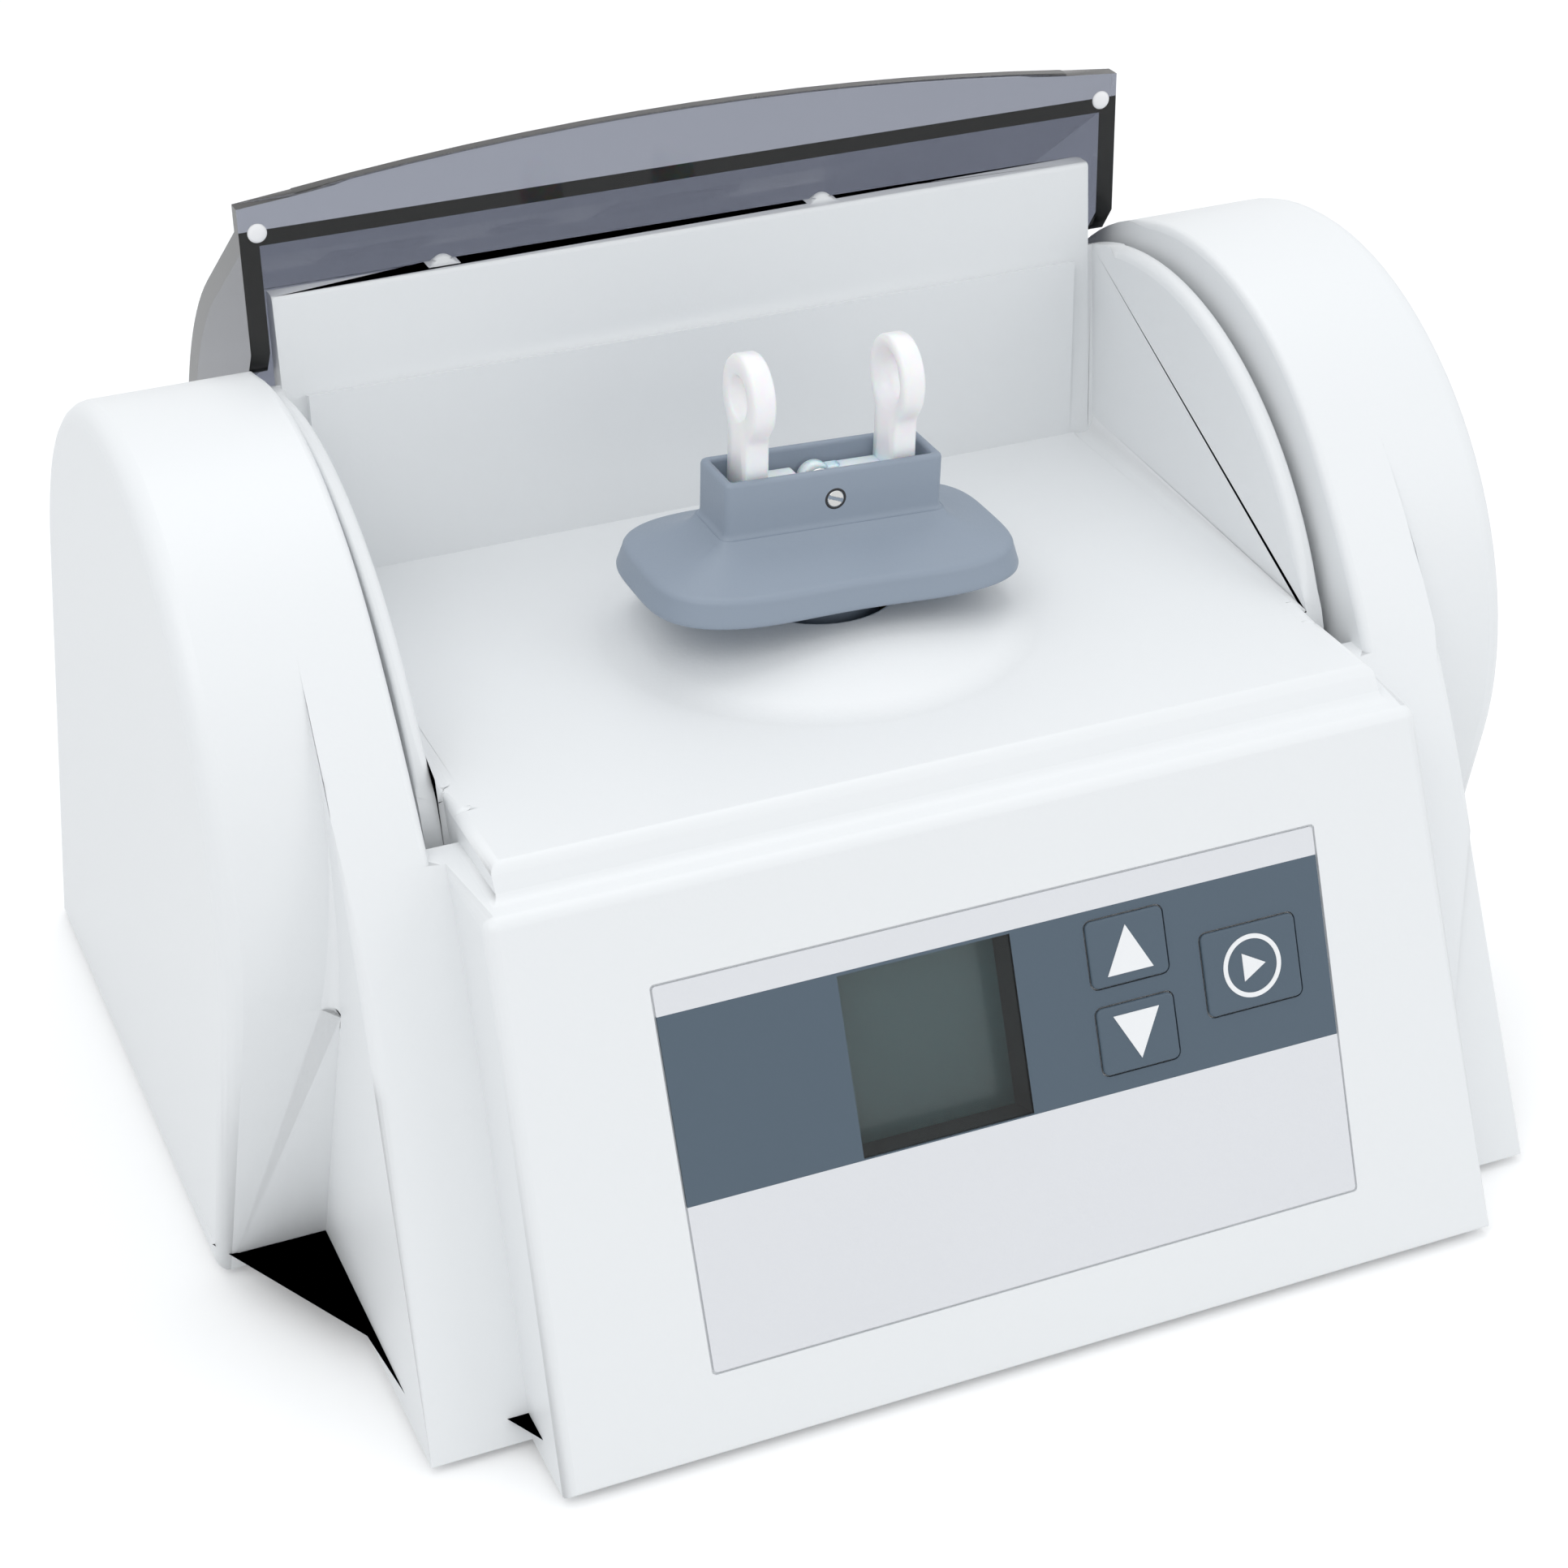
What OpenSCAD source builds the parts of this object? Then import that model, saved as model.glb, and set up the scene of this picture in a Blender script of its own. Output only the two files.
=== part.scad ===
// Bench mixer for dental amalgam capsules: a white moulded housing with two round side towers,
// a mixing chamber between them, a smoked lid drawn fully open, and a shaken capsule holder.
// Drawing axes: X across, Y from the front foot to the rear, Z up from the lower rim.

/* [Housing] */
// Wall thickness of the housing moulding
wall = 3; // [2.6:0.1:3.2]
// Half width of the front block at the lower rim
front_half_w = 85; // [83:0.5:88]
// Angle by which the front face leans back
front_tilt = 20.3; // [19.8:0.1:20.8]
// Angle by which the front block's ends lean inward
front_draft = 1.94; // [1.5:0.1:2.2]
// Height of the ridge and of the ledge behind it
ridge_z = 87.8; // [87:0.1:88.5]
// Rounding of the ridge
ridge_r = 2.5; // [1.5:0.1:3]
// Height of the feet below the lower rim
foot_proud = 1.5; // [1:0.1:3]

/* [Side towers] */
// Distance of the towers' inner faces inside the ends of the front block
tower_inset = 0.7; // [0.4:0.1:1]
// Width of each tower at the lower rim
tower_w = 36.2; // [35:0.1:38]
// Radius of each tower's round top
drum_r = 62.4; // [61.5:0.1:63]
// Centre of the round top, from the front foot
drum_y = 120.5; // [119:0.5:122]
// Height of that centre
drum_z = 77.2; // [76.5:0.1:78]
// Lean of the towers' front and rear flanks
flank_lean = 16.1; // [15.5:0.1:16.5]
// Angle by which the towers' outer faces lean inward
side_draft = 2.2; // [1.8:0.1:2.5]
// Width of the inner bands at the lower rim
band_w = 17.6; // [16.5:0.1:19]
// Front foot of the inner bands
band_foot_y = 16.1; // [15:0.1:18]
// Radius that blends the bands into the round tops
band_blend_r = 200; // [190:5:210]

/* [Chamber] */
// Height of the chamber floor
floor_z = 92.7; // [92.2:0.1:93.2]
// Foot of the step up to the chamber floor
step_y = 37.6; // [37.5:0.1:38]
// Lean of the step's face
step_lean = 33.8; // [33.4:0.1:35]
// Width of the slots between the chamber's side walls and the towers
slot_w = 6.1; // [5.9:0.1:6.5]
// Foot of the back wall's front face
backwall_foot_y = 145; // [144:0.5:147]
// Top of the back wall's front face
backwall_top_y = 148.5; // [148:0.1:149]
// Height of the back wall
backwall_z = 145.8; // [144:0.1:146]
// Thickness of the back wall at its top
backwall_t = 4; // [3.5:0.1:4.2]
// Radius of the housing's round back between the towers
back_r = 64; // [60:0.5:65]
// Centre of the half moon walls, from the front foot
moon_y = 113; // [112:0.5:114]
// Radius of the half moon walls
moon_r = 57.5; // [56:0.5:58]
// Height of the flat tail behind the round back
tail_z = 32; // [31:0.5:33]
// Radius of the dome on the floor
dome_r = 38.8; // [38:0.1:40]
// Height of the dome
dome_h = 7; // [6:0.1:7.5]

/* [Lid] */
// Lid hinge axis, from the front foot
pivot_y = 126; // [125.8:0.1:126.2]
// Height of the lid hinge axis
pivot_z = 67; // [66.8:0.1:67.2]
// Outer radius of the lid's curved sheet
lid_r = 88.4; // [88:0.1:89]
// Thickness of the lid
lid_t = 3.4; // [3:0.1:3.5]
// Gap between the lid's cheeks and the towers
lid_side_gap = 1.3; // [1.2:0.1:1.5]
// Front plane of the open lid
lid_front_y = 147.5; // [147.2:0.1:148]
// Height of the sheet's outer edge at that plane
lid_rim_z = 159.8; // [159:0.1:160.5]
// Inner radius of the lid's cheeks
cheek_r = 69.2; // [68.5:0.1:70]
// Height of the arched grip lip at its middle
lip_top_z = 168.4; // [167:0.1:169]
// Height of the grip lip at its ends
lip_end_z = 162.6; // [162:0.1:163]
// Radius of the hinge pins
hinge_pin_r = 4; // [3:0.5:5]

/* [Control panel] */
// Width of the panel foil
foil_w = 117.4; // [116:0.1:118]
// Height of the panel foil
foil_h = 63.9; // [63:0.1:65]
// Width of the display window
window_w = 30.3; // [30:0.1:31]
// Height of the display window
window_h = 30.5; // [30:0.1:31]
// Width and height of an arrow key
arrow_key = [14.1, 11.4];
// Width and height of the start key
start_key_size = [17.6, 14.3];
// Travel of the keys
key_travel = 0.5; // [0.3:0.1:0.6]

/* [Capsule holder] */
// Motor axis, from the front foot
mixer_y = 95; // [94.5:0.1:95.5]
// Height at which the tilted crank axis crosses the motor axis
swash_z = 104; // [103.5:0.1:104.5]
// Tilt of the crank axis
swash_tilt = 2.5; // [2:0.1:2.8]
// Half width of the skirt
skirt_half_w = 34; // [33:0.5:34.5]
// Half depth of the skirt
skirt_half_d = 20.5; // [20:0.5:21]
// Lower edge of the skirt
skirt_z = 103.2; // [103:0.1:103.6]
// Half width of the tray
tray_half_w = 19.9; // [19.6:0.1:20.2]
// Half depth of the tray
tray_half_d = 6.4; // [6.3:0.1:6.6]
// Height of the tray's rim
tray_z = 123.4; // [123:0.1:124]
// Height of the fork pin
fork_pin_z = 118.2; // [118:0.1:118.4]
// Radius of the fork pin
fork_pin_r = 1.5; // [1.3:0.1:1.6]
// Height of the ring centres on the forks
ring_z = 136; // [135:0.5:137]
// Outer radius of the fork rings
ring_r = 7.5; // [7:0.1:8]
// Hole radius of the fork rings
ring_hole_r = 3.8; // [3.5:0.1:4]

/* [Drive] */
// Radius of the motor can
motor_r = 31; // [29:0.5:33]
// Radius of the motor shaft and crank journal
shaft_r = 4; // [3.8:0.1:4]

/* [Hidden] */
$fn = 96;

white = "WhiteSmoke";
smoke = [0.3, 0.3, 0.36, 0.5];
steel = "Silver";
black = [0.12, 0.12, 0.13];
grey_blue = [0.5, 0.55, 0.62];

// Fits
bore_clear = 0.05;      // radial clearance of a pin or shaft in its bore
part_clear = 0.3;       // clearance of a loose piece in its opening
rim_recess = 0.8;       // the base plate sits this far above the rim
base_t = 3;             // thickness of the base plate
rim_wall = wall - 0.3;  // wall round the base plate
foil_t = 0.6;           // depth of the foil's recess and thickness of the foil

// Derived places
tower_inner_x = front_half_w - tower_inset;
tower_half_w = tower_inner_x + tower_w;
band_half_w = tower_inner_x + band_w;
chamber_half_w = tower_inner_x - slot_w;
lid_half_w = tower_inner_x - lid_side_gap;
drum_c = [drum_y, drum_z];
pivot = [pivot_y, pivot_z];
flank_dy = drum_r / cos(flank_lean);
front_flank_y = drum_y - flank_dy + drum_z * tan(flank_lean);
rear_flank_y = drum_y + flank_dy + drum_z * tan(flank_lean);
part_depth = pivot_y + lid_r;
chamber_in_x = chamber_half_w - wall;
front_in = [cos(front_tilt), -sin(front_tilt)];
lower_half_w = tower_inner_x + 1;
base_top = rim_recess + base_t;

// Blend circle between a band's straight front and the round top
band_gap = (drum_c - [band_foot_y, 0]) * front_in;
blend_ang = -front_tilt - acos((band_blend_r - band_gap) / (band_blend_r - drum_r));
blend_dir = [cos(blend_ang), sin(blend_ang)];
blend_c = drum_c + (band_blend_r - drum_r) * blend_dir;

// Slots for the lid's cheeks
slot_r = 72;
slot_floor_z = 60;
slot_rear_y = 100;

// Lid: the straight front part of the sheet touches the curved part at lid_ang
lid_rim = [lid_front_y, lid_rim_z] - pivot;
lid_ang = atan2(lid_rim[1], lid_rim[0]) - acos(lid_r / norm(lid_rim));
lid_end_ang = -20;
lid_arm_ang = -6;
lid_arm_w = 18;
lid_hub_r = 10;
lip_t = 3;
lip_arc_r = (pow(lid_half_w, 2) + pow(lip_top_z - lip_end_z, 2)) / (2 * (lip_top_z - lip_end_z));
bumper_r = 1.7;
bumper_h = pivot_z + lid_front_y - pivot_y - ridge_z - 0.1;
bumper_x = lid_half_w - 3.2;
bumper_z = lid_rim_z - 1.8;
magnet_r = 3;
magnet_t = 2.4;
magnet_at = 18;
pin_head_t = 2.6;

// Panel layout, measured on the front face: X across, then distance up the slope
foil_x = 1.1;
foil_u = 45.9;
window_x = -12.1;
window_u = 57.2;
arrow_x = 23.3;
up_u = 65.4;
down_u = 50.6;
start_x = 45.4;
start_u = 57.2;
key_proud = 0.4;
key_r = 1.2;
key_hole_r = 2.6;
key_stem_r = 2.2;
key_stem_end = 5.8;
board_front = 9.4;
board_t = 1.6;
board_w = 104;
board_h = 52;
board_boss_r = 3.2;
mark_t = 0.12;
frame_t = 0.8;
display_t = 2;

// Holder and crank
tray_t = 1.6;
skirt_t = 2.6;
skirt_rim_h = 4.8;
skirt_crown = 5.2;
hub_r = 11;
bearing_w = 5;
bearing_gap = 2.5;
hub_bearing_r = 8;
clip_t = 0.5;
fork_half_d = 4.2;
fork_lap = 1.6;
fork_t = 4.2;
fork_out_x = tray_half_w - 4.3;
fork_in_x = fork_out_x - fork_t;
fork_foot_h = 2.2;
fork_knuckle_r = 3;
dome_hole_r = 13.5;

// Drive, from the bracket under the floor up to the holder's tray
bracket_t = 2.5;
buffer_h = 9.7;
buffer_r = 7;
buffer_x = motor_r + 9;
buffer_y = motor_r + 1;
bracket_z = floor_z - wall - buffer_h - bracket_t;
motor_h = 50.5;
motor_z = bracket_z - motor_h;
motor_bearing_r = 11;
motor_bearing_w = 7;
can_wall = 2;
winding_h = 28;
winding_t = 10;
core_h = 26;
core_gap = 1;
crank_t = 4;
crank_z = bracket_z + 6.5;
crank_r = 9;
crank_top_z = crank_z + crank_t;
weight_r = 20;
hub_z = crank_top_z + 1.4;
bearing_seat_z = hub_z + 7.6;
clip_z = bearing_seat_z + 2 * bearing_w + bearing_gap + bore_clear;
journal_top_z = clip_z + 0.85;
tray_floor_z = journal_top_z + 2.2;

// Restraint springs from the hub to posts under the dome
spring_coil_r = 1.6;
spring_wire_r = 0.35;
spring_pitch = 1.3;
spring_turns = 13;
spring_z = hub_z + 1.2;
post_r = 2;
post_h = 6;
post_y = hub_r + 20;

// Mains side in the towers
tower_room_x = tower_inner_x + wall;
transformer_at = [130, 62];
transformer_t = tower_w - 12.2;
transformer_ring_w = 26;
power_board_size = [1.6, 76, 62];
power_parts_h = tower_w - 18.2;

// Rear connectors, placed on the tail's rear face
inlet_x = 48;
fuse_x = 14;
rocker_x = -20;
connector_z = tail_z - 13.5;
inlet_size = [27.5, 19.5];
rocker_size = [21, 14];
fuse_r = 6.5;
rocker_axle_r = 1;
rocker_tilt = 8;

// Shared shapes

module slab_x(x0, x1) {
    translate([x0, 0, 0])
        rotate([90, 0, 90])
            linear_extrude(x1 - x0)
                children();
}

module both_sides() {
    children();
    mirror([1, 0, 0])
        children();
}

// Space between two end faces that lean inward going up
module wedge(half_w, draft) {
    low = -10;
    high = 180;
    rotate([90, 0, 0])
        translate([0, 0, -300])
            linear_extrude(400)
                polygon([
                    [-half_w + low * tan(draft), low],
                    [half_w - low * tan(draft), low],
                    [half_w - high * tan(draft), high],
                    [-half_w + high * tan(draft), high]
                ]);
}

module rounded_rect(size, r) {
    x = size[0] / 2 - r;
    y = size[1] / 2 - r;
    square([size[0], 2 * y], center = true);
    square([2 * x, size[1]], center = true);
    for (sx = [-1, 1], sy = [-1, 1])
        translate([sx * x, sy * y])
            circle(r);
}

module above(z) {
    translate([-60, z])
        square([360, 300]);
}

module ring(r_in, r_out, h) {
    difference() {
        cylinder(r = r_out, h = h);
        translate([0, 0, -1])
            cylinder(r = r_in, h = h + 2);
    }
}

// Local Z points out of the front face, local Y runs up it
module on_front(x, u) {
    rotate([90 - front_tilt, 0, 0])
        translate([x, u, 0])
            children();
}

// Local Z points out of the tail's rear face, local Y runs up it
module on_rear(x, z) {
    translate([x, rear_flank_y - z * tan(flank_lean), z])
        rotate([flank_lean - 90, 0, 0])
            rotate([0, 0, 180])
                children();
}

module on_motor_axis(z) {
    translate([0, mixer_y, z])
        children();
}

// The holder and the crank journal share one tilted axis
module tilted() {
    on_motor_axis(swash_z)
        rotate([0, swash_tilt, 0])
            translate([0, -mixer_y, -swash_z])
                children();
}

// Side outlines: first axis is Y, second is Z; inset moves a face inward

module drum_2d(inset = 0, low = 0) {
    r = drum_r - inset;
    intersection() {
        translate(drum_c)
            union() {
                circle(r);
                rotate(flank_lean)
                    translate([-r, -160])
                        square([2 * r, 160]);
            }
        above(low);
    }
}

module band_2d(inset = 0, low = 0) {
    foot = [band_foot_y + inset / cos(front_tilt) + low * tan(front_tilt), low];
    line_end = blend_c - (band_blend_r - inset) * front_in;
    arc_end = drum_c - (drum_r - inset) * blend_dir;
    drum_2d(inset, low);
    bulge = 0.65 * drum_r;
    polygon([foot, line_end, drum_c, [drum_y, low]]);
    intersection() {
        translate(blend_c)
            circle(band_blend_r - inset, $fn = 360);
        polygon([line_end, line_end - bulge * front_in, arc_end - bulge * blend_dir, arc_end, drum_c]);
    }
}

module front_2d(inset = 0, low = 0) {
    top = ridge_z - inset;
    y0 = inset / cos(front_tilt);
    r = max(ridge_r - inset, 0.5);
    edge = (90 - front_tilt) / 2 + front_tilt;
    cut = r / tan(edge);
    corner = [y0 + top * tan(front_tilt), top];
    centre = corner + [cut, -r];
    polygon([
        [y0 + low * tan(front_tilt), low],
        corner - cut * [sin(front_tilt), cos(front_tilt)],
        centre,
        corner + [cut, 0],
        [60, top],
        [60, low]
    ]);
    translate(centre)
        circle(r);
}

module floor_2d(inset = 0, low = 0) {
    lean = (floor_z - ridge_z) * tan(step_lean);
    polygon([
        [step_y + inset, low],
        [step_y + inset, ridge_z - inset],
        [step_y + lean + inset, floor_z - inset],
        [backwall_foot_y + 2 * inset, floor_z - inset],
        [backwall_foot_y + 2 * inset, low]
    ]);
}

module back_2d(inset = 0, low = 0) {
    rear = backwall_top_y + backwall_t;
    if (inset == 0)
        polygon([
            [backwall_foot_y, floor_z - wall],
            [backwall_foot_y, floor_z],
            [backwall_top_y, backwall_z],
            [rear, backwall_z],
            [rear, floor_z - wall]
        ]);
    intersection() {
        union() {
            translate(pivot)
                circle(back_r - inset);
            translate([pivot_y, low])
                square([back_r - inset, pivot_z - low]);
        }
        translate([backwall_foot_y + 1.5 * inset, low])
            square([100, 200]);
    }
}

module tail_2d(inset = 0, low = 0) {
    rear = rear_flank_y - inset / cos(flank_lean);
    polygon([
        [90, low],
        [rear - low * tan(flank_lean), low],
        [rear - (tail_z - inset) * tan(flank_lean), tail_z - inset],
        [90, tail_z - inset]
    ]);
}

// Slot beside the chamber that takes a cheek of the lid
module slot_2d(grow = 0) {
    intersection() {
        translate(pivot)
            circle(slot_r + grow);
        above(slot_floor_z - grow);
    }
    translate([slot_rear_y - grow, tail_z - grow])
        square([200, 200]);
}

// Housing

module housing_outside() {
    intersection() {
        slab_x(-front_half_w - 1, front_half_w + 1)
            front_2d();
        wedge(front_half_w, front_draft);
    }
    slab_x(-lower_half_w, lower_half_w)
        intersection() {
            band_2d();
            square([backwall_foot_y, ridge_z]);
        }
    slab_x(-chamber_half_w, chamber_half_w) {
        floor_2d();
        back_2d();
    }
    slab_x(-lower_half_w, lower_half_w)
        tail_2d();
    both_sides() {
        intersection() {
            slab_x(tower_inner_x, tower_half_w + 1)
                drum_2d();
            wedge(tower_half_w, side_draft);
        }
        intersection() {
            slab_x(tower_inner_x, band_half_w + 1)
                band_2d();
            wedge(band_half_w, side_draft);
        }
        slab_x(chamber_in_x, chamber_half_w)
            intersection() {
                translate([moon_y, drum_z])
                    circle(moon_r);
                above(floor_z - wall);
                square([backwall_top_y, 200]);
            }
    }
    dome(dome_h, 0);
    back_nubs();
}

// Spherical cap on the chamber floor
module dome(h, inset) {
    r = (pow(dome_r, 2) + pow(h, 2)) / (2 * h);
    intersection() {
        on_motor_axis(floor_z + h - r)
            sphere(r - inset, $fn = 180);
        on_motor_axis(floor_z - wall - 1)
            cylinder(r = dome_r - inset, h = 30);
    }
}

// Two small half round nubs on the top edge of the back wall
module back_nubs() {
    nub_r = 2.2;
    for (x = [-46.7, 25.3])
        translate([x, backwall_top_y + backwall_t - 0.1, backwall_z - 0.6])
            rotate([90, 0, 0])
                cylinder(r = nub_r, h = 1.6);
}

module housing_inside() {
    low = -1;
    difference() {
        union() {
            intersection() {
                slab_x(-front_half_w, front_half_w)
                    front_2d(wall, low);
                wedge(front_half_w - wall, front_draft);
            }
            slab_x(-tower_inner_x, tower_inner_x) {
                intersection() {
                    band_2d(wall, low);
                    translate([0, low])
                        square([backwall_foot_y, ridge_z - wall - low]);
                }
                tail_2d(wall, low);
            }
            slab_x(-chamber_in_x, chamber_in_x) {
                floor_2d(wall, low);
                back_2d(wall, low);
            }
        }
        both_sides()
            slab_x(chamber_in_x, tower_inner_x + wall)
                slot_2d(wall);
    }
    both_sides() {
        intersection() {
            slab_x(tower_inner_x + wall, tower_half_w)
                drum_2d(wall, low);
            wedge(tower_half_w - wall, side_draft);
        }
        intersection() {
            slab_x(tower_inner_x + wall, band_half_w)
                band_2d(wall, low);
            wedge(band_half_w - wall, side_draft);
        }
    }
    dome(dome_h, wall);
    translate([0, 0, low])
        linear_extrude(base_top + 0.4 - low)
            base_outline(rim_wall, rim_wall);
}

// Outline of the space inside the lower rim, seen from above
module base_outline(side, ends) {
    outline_part(front_half_w - side, ends / cos(front_tilt), 60);
    outline_part(band_half_w - side, band_foot_y + ends / cos(front_tilt), 100);
    outline_part(tower_half_w - side, front_flank_y + ends, rear_flank_y - ends - 0.4);
}

module outline_part(half_w, y0, y1) {
    translate([-half_w, y0])
        square([2 * half_w, y1 - y0]);
}

// Places of the base plate's screws
base_screw_at = [[front_half_w - 11, 13.5], [tower_half_w - 8.1, 100], [tower_half_w - 8.1, 184]];

module base_bosses() {
    boss_r = 4.6;
    boss_top = [20, 28, 28];
    both_sides()
        for (i = [0:2])
            translate([base_screw_at[i][0], base_screw_at[i][1], base_top])
                cylinder(r = boss_r, h = boss_top[i] - base_top);
}

module screw_bores() {
    both_sides()
        for (p = base_screw_at)
            translate([p[0], p[1], -1])
                cylinder(r = 1.75, h = base_top + 14);
}

// Posts behind the front face that carry the control board
module board_posts() {
    for (sx = [-1, 1], su = [-1, 1])
        on_front(foil_x + sx * (board_w / 2 - 4), foil_u + su * (board_h / 2 - 4))
            translate([0, 0, -board_front])
                cylinder(r = board_boss_r, h = board_front - wall + 0.5);
}

module front_cuts() {
    on_front(foil_x, foil_u)
        translate([0, 0, -foil_t])
            linear_extrude(10)
                rounded_rect([foil_w + 0.8, foil_h + 0.8], 0.8);
    on_front(window_x, window_u)
        translate([0, 0, -10])
            linear_extrude(12)
                display_outline(frame_t + part_clear);
    for (p = [[arrow_x, up_u], [arrow_x, down_u], [start_x, start_u]])
        on_front(p[0], p[1])
            translate([0, 0, -8])
                cylinder(r = key_hole_r, h = 12);
    key_pocket(arrow_x, up_u, arrow_key);
    key_pocket(arrow_x, down_u, arrow_key);
    key_pocket(start_x, start_u, start_key_size);
    for (sx = [-1, 1], su = [-1, 1])
        on_front(foil_x + sx * (board_w / 2 - 4), foil_u + su * (board_h / 2 - 4))
            translate([0, 0, -board_front - 1])
                cylinder(r = 1.2, h = 7);
}

// Room behind a key for its travel
module key_pocket(x, u, size) {
    on_front(x, u)
        translate([0, 0, -foil_t - key_travel - 0.1])
            linear_extrude(4)
                key_shape(size, part_clear);
}

module rear_cuts() {
    on_rear(inlet_x, connector_z)
        translate([0, 0, -8])
            linear_extrude(12)
                square(inlet_size + [0.4, 0.4], center = true);
    on_rear(rocker_x, connector_z)
        translate([0, 0, -8])
            linear_extrude(12)
                square(rocker_size + [0.4, 0.4], center = true);
    on_rear(fuse_x, connector_z)
        translate([0, 0, -8])
            cylinder(r = fuse_r + 0.2, h = 12);
}

// Wiring passages from the middle into the towers
module wire_passages() {
    passage_r = 9;
    for (at = [[46, 22], [150, 16]])
        slab_x(-tower_inner_x - wall - 1, tower_inner_x + wall + 1)
            translate(at)
                circle(passage_r);
}

module restraint_posts() {
    for (s = [-1, 1])
        translate([0, mixer_y + s * post_y, floor_z - wall - 1.7])
            cylinder(r = post_r, h = post_h);
}

module hinge_bores() {
    translate([0, pivot_y, pivot_z])
        rotate([0, 90, 0])
            translate([0, 0, -tower_inner_x - wall - 1])
                cylinder(r = hinge_pin_r + bore_clear, h = 2 * (tower_inner_x + wall + 1));
}

module buffer_holes() {
    for (sx = [-1, 1], sy = [-1, 1])
        translate([sx * buffer_x, mixer_y + sy * buffer_y, floor_z - wall - 1])
            cylinder(r = 1.6, h = 2.6);
}

module housing() {
    color(white)
        difference() {
            union() {
                difference() {
                    housing_outside();
                    housing_inside();
                    both_sides()
                        slab_x(chamber_half_w, tower_inner_x)
                            slot_2d();
                }
                base_bosses();
                board_posts();
                restraint_posts();
            }
            screw_bores();
            front_cuts();
            rear_cuts();
            wire_passages();
            hinge_bores();
            buffer_holes();
            on_motor_axis(floor_z - wall)
                cylinder(r = dome_hole_r, h = 20);
        }
}

// Base plate, feet and screws

foot_at = [[front_half_w - 19, 30], [tower_half_w - 16.5, 176]];
foot_r = 8;
foot_stem_r = 3;

module base_plate() {
    color("DimGray")
        difference() {
            translate([0, 0, rim_recess])
                linear_extrude(base_t)
                    base_outline(wall + 0.6, wall + 2);
            both_sides() {
                for (p = foot_at)
                    translate([p[0], p[1], -1])
                        cylinder(r = foot_stem_r + bore_clear, h = 10);
                for (p = base_screw_at)
                    translate([p[0], p[1], -1])
                        cylinder(r = 2, h = 10);
            }
        }
}

module feet() {
    color(black)
        both_sides()
            for (p = foot_at)
                translate([p[0], p[1], -foot_proud]) {
                    cylinder(r = foot_r, h = foot_proud + rim_recess);
                    cylinder(r = foot_stem_r, h = foot_proud + base_top + 1.4);
                    translate([0, 0, foot_proud + base_top])
                        cylinder(r1 = foot_stem_r + 1, r2 = foot_stem_r, h = 1.4);
                }
}

module base_screws() {
    head_t = 1.2;
    color(steel)
        both_sides()
            for (p = base_screw_at)
                translate([p[0], p[1], rim_recess - head_t])
                    difference() {
                        union() {
                            cylinder(r = 3.4, h = head_t);
                            cylinder(r = 1.7, h = head_t + base_t + 10);
                        }
                        for (a = [0, 90])
                            rotate(a)
                                translate([-2, -0.4, -1])
                                    cube([4, 0.8, 1.6]);
                    }
}

// Lid, drawn open

// Height of the sheet's edge in the front plane, for a face at radius r from the hinge axis
function rim_at(r) = pivot_z + (r - (lid_front_y - pivot_y) * cos(lid_ang)) / sin(lid_ang);

module lid_sector(r_in, r_out) {
    far = 2 * lid_r;
    out = [cos(lid_ang), sin(lid_ang)];
    intersection() {
        translate(pivot)
            difference() {
                circle(r_out, $fn = 240);
                if (r_in > 0)
                    circle(r_in, $fn = 240);
            }
        polygon([
            pivot,
            pivot + far * [cos(lid_end_ang), sin(lid_end_ang)],
            pivot + far * out
        ]);
    }
    polygon([
        pivot + r_in * out,
        pivot + r_out * out,
        [lid_front_y, rim_at(r_out)],
        [lid_front_y, r_in > 0 ? rim_at(r_in) : pivot_z]
    ]);
}

module cheek_2d() {
    corner_cut = 3.5;
    difference() {
        lid_sector(0, lid_r - lid_t / 2);
        translate(pivot)
            circle(cheek_r);
        cheek_corner(corner_cut);
    }
    translate(pivot) {
        rotate(lid_arm_ang)
            translate([0, -lid_arm_w / 2])
                square([cheek_r + 6, lid_arm_w]);
        circle(lid_hub_r);
    }
}

// Takes the sharp lower front corner off a cheek
module cheek_corner(cut) {
    y0 = lid_front_y - pivot_y;
    y1 = y0 + cut;
    upper = [y0, sqrt(pow(cheek_r, 2) - pow(y0, 2)) + cut];
    lower = [y1, sqrt(pow(cheek_r, 2) - pow(y1, 2))];
    along = lower - upper;
    translate(pivot)
        polygon([upper - 0.3 * along, lower + 0.5 * along, [y0 - 2, lower[1] - 3]]);
}

module lid() {
    color(smoke)
        difference() {
            union() {
                slab_x(-lid_half_w, lid_half_w)
                    lid_sector(lid_r - lid_t, lid_r);
                both_sides()
                    slab_x(lid_half_w - lid_t, lid_half_w)
                        cheek_2d();
                lip();
            }
            translate([0, pivot_y, pivot_z])
                rotate([0, 90, 0])
                    translate([0, 0, -lid_half_w - 1])
                        cylinder(r = hinge_pin_r + bore_clear, h = 2 * lid_half_w + 2);
            magnet_seats(bore_clear);
        }
}

module lip() {
    base_z = lid_rim_z - 4;
    translate([0, lid_front_y + lip_t, 0])
        rotate([90, 0, 0])
            linear_extrude(lip_t)
                intersection() {
                    translate([0, lip_top_z - lip_arc_r])
                        circle(lip_arc_r, $fn = 720);
                    translate([-lid_half_w, base_z])
                        square([2 * lid_half_w, 20]);
                }
}

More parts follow.
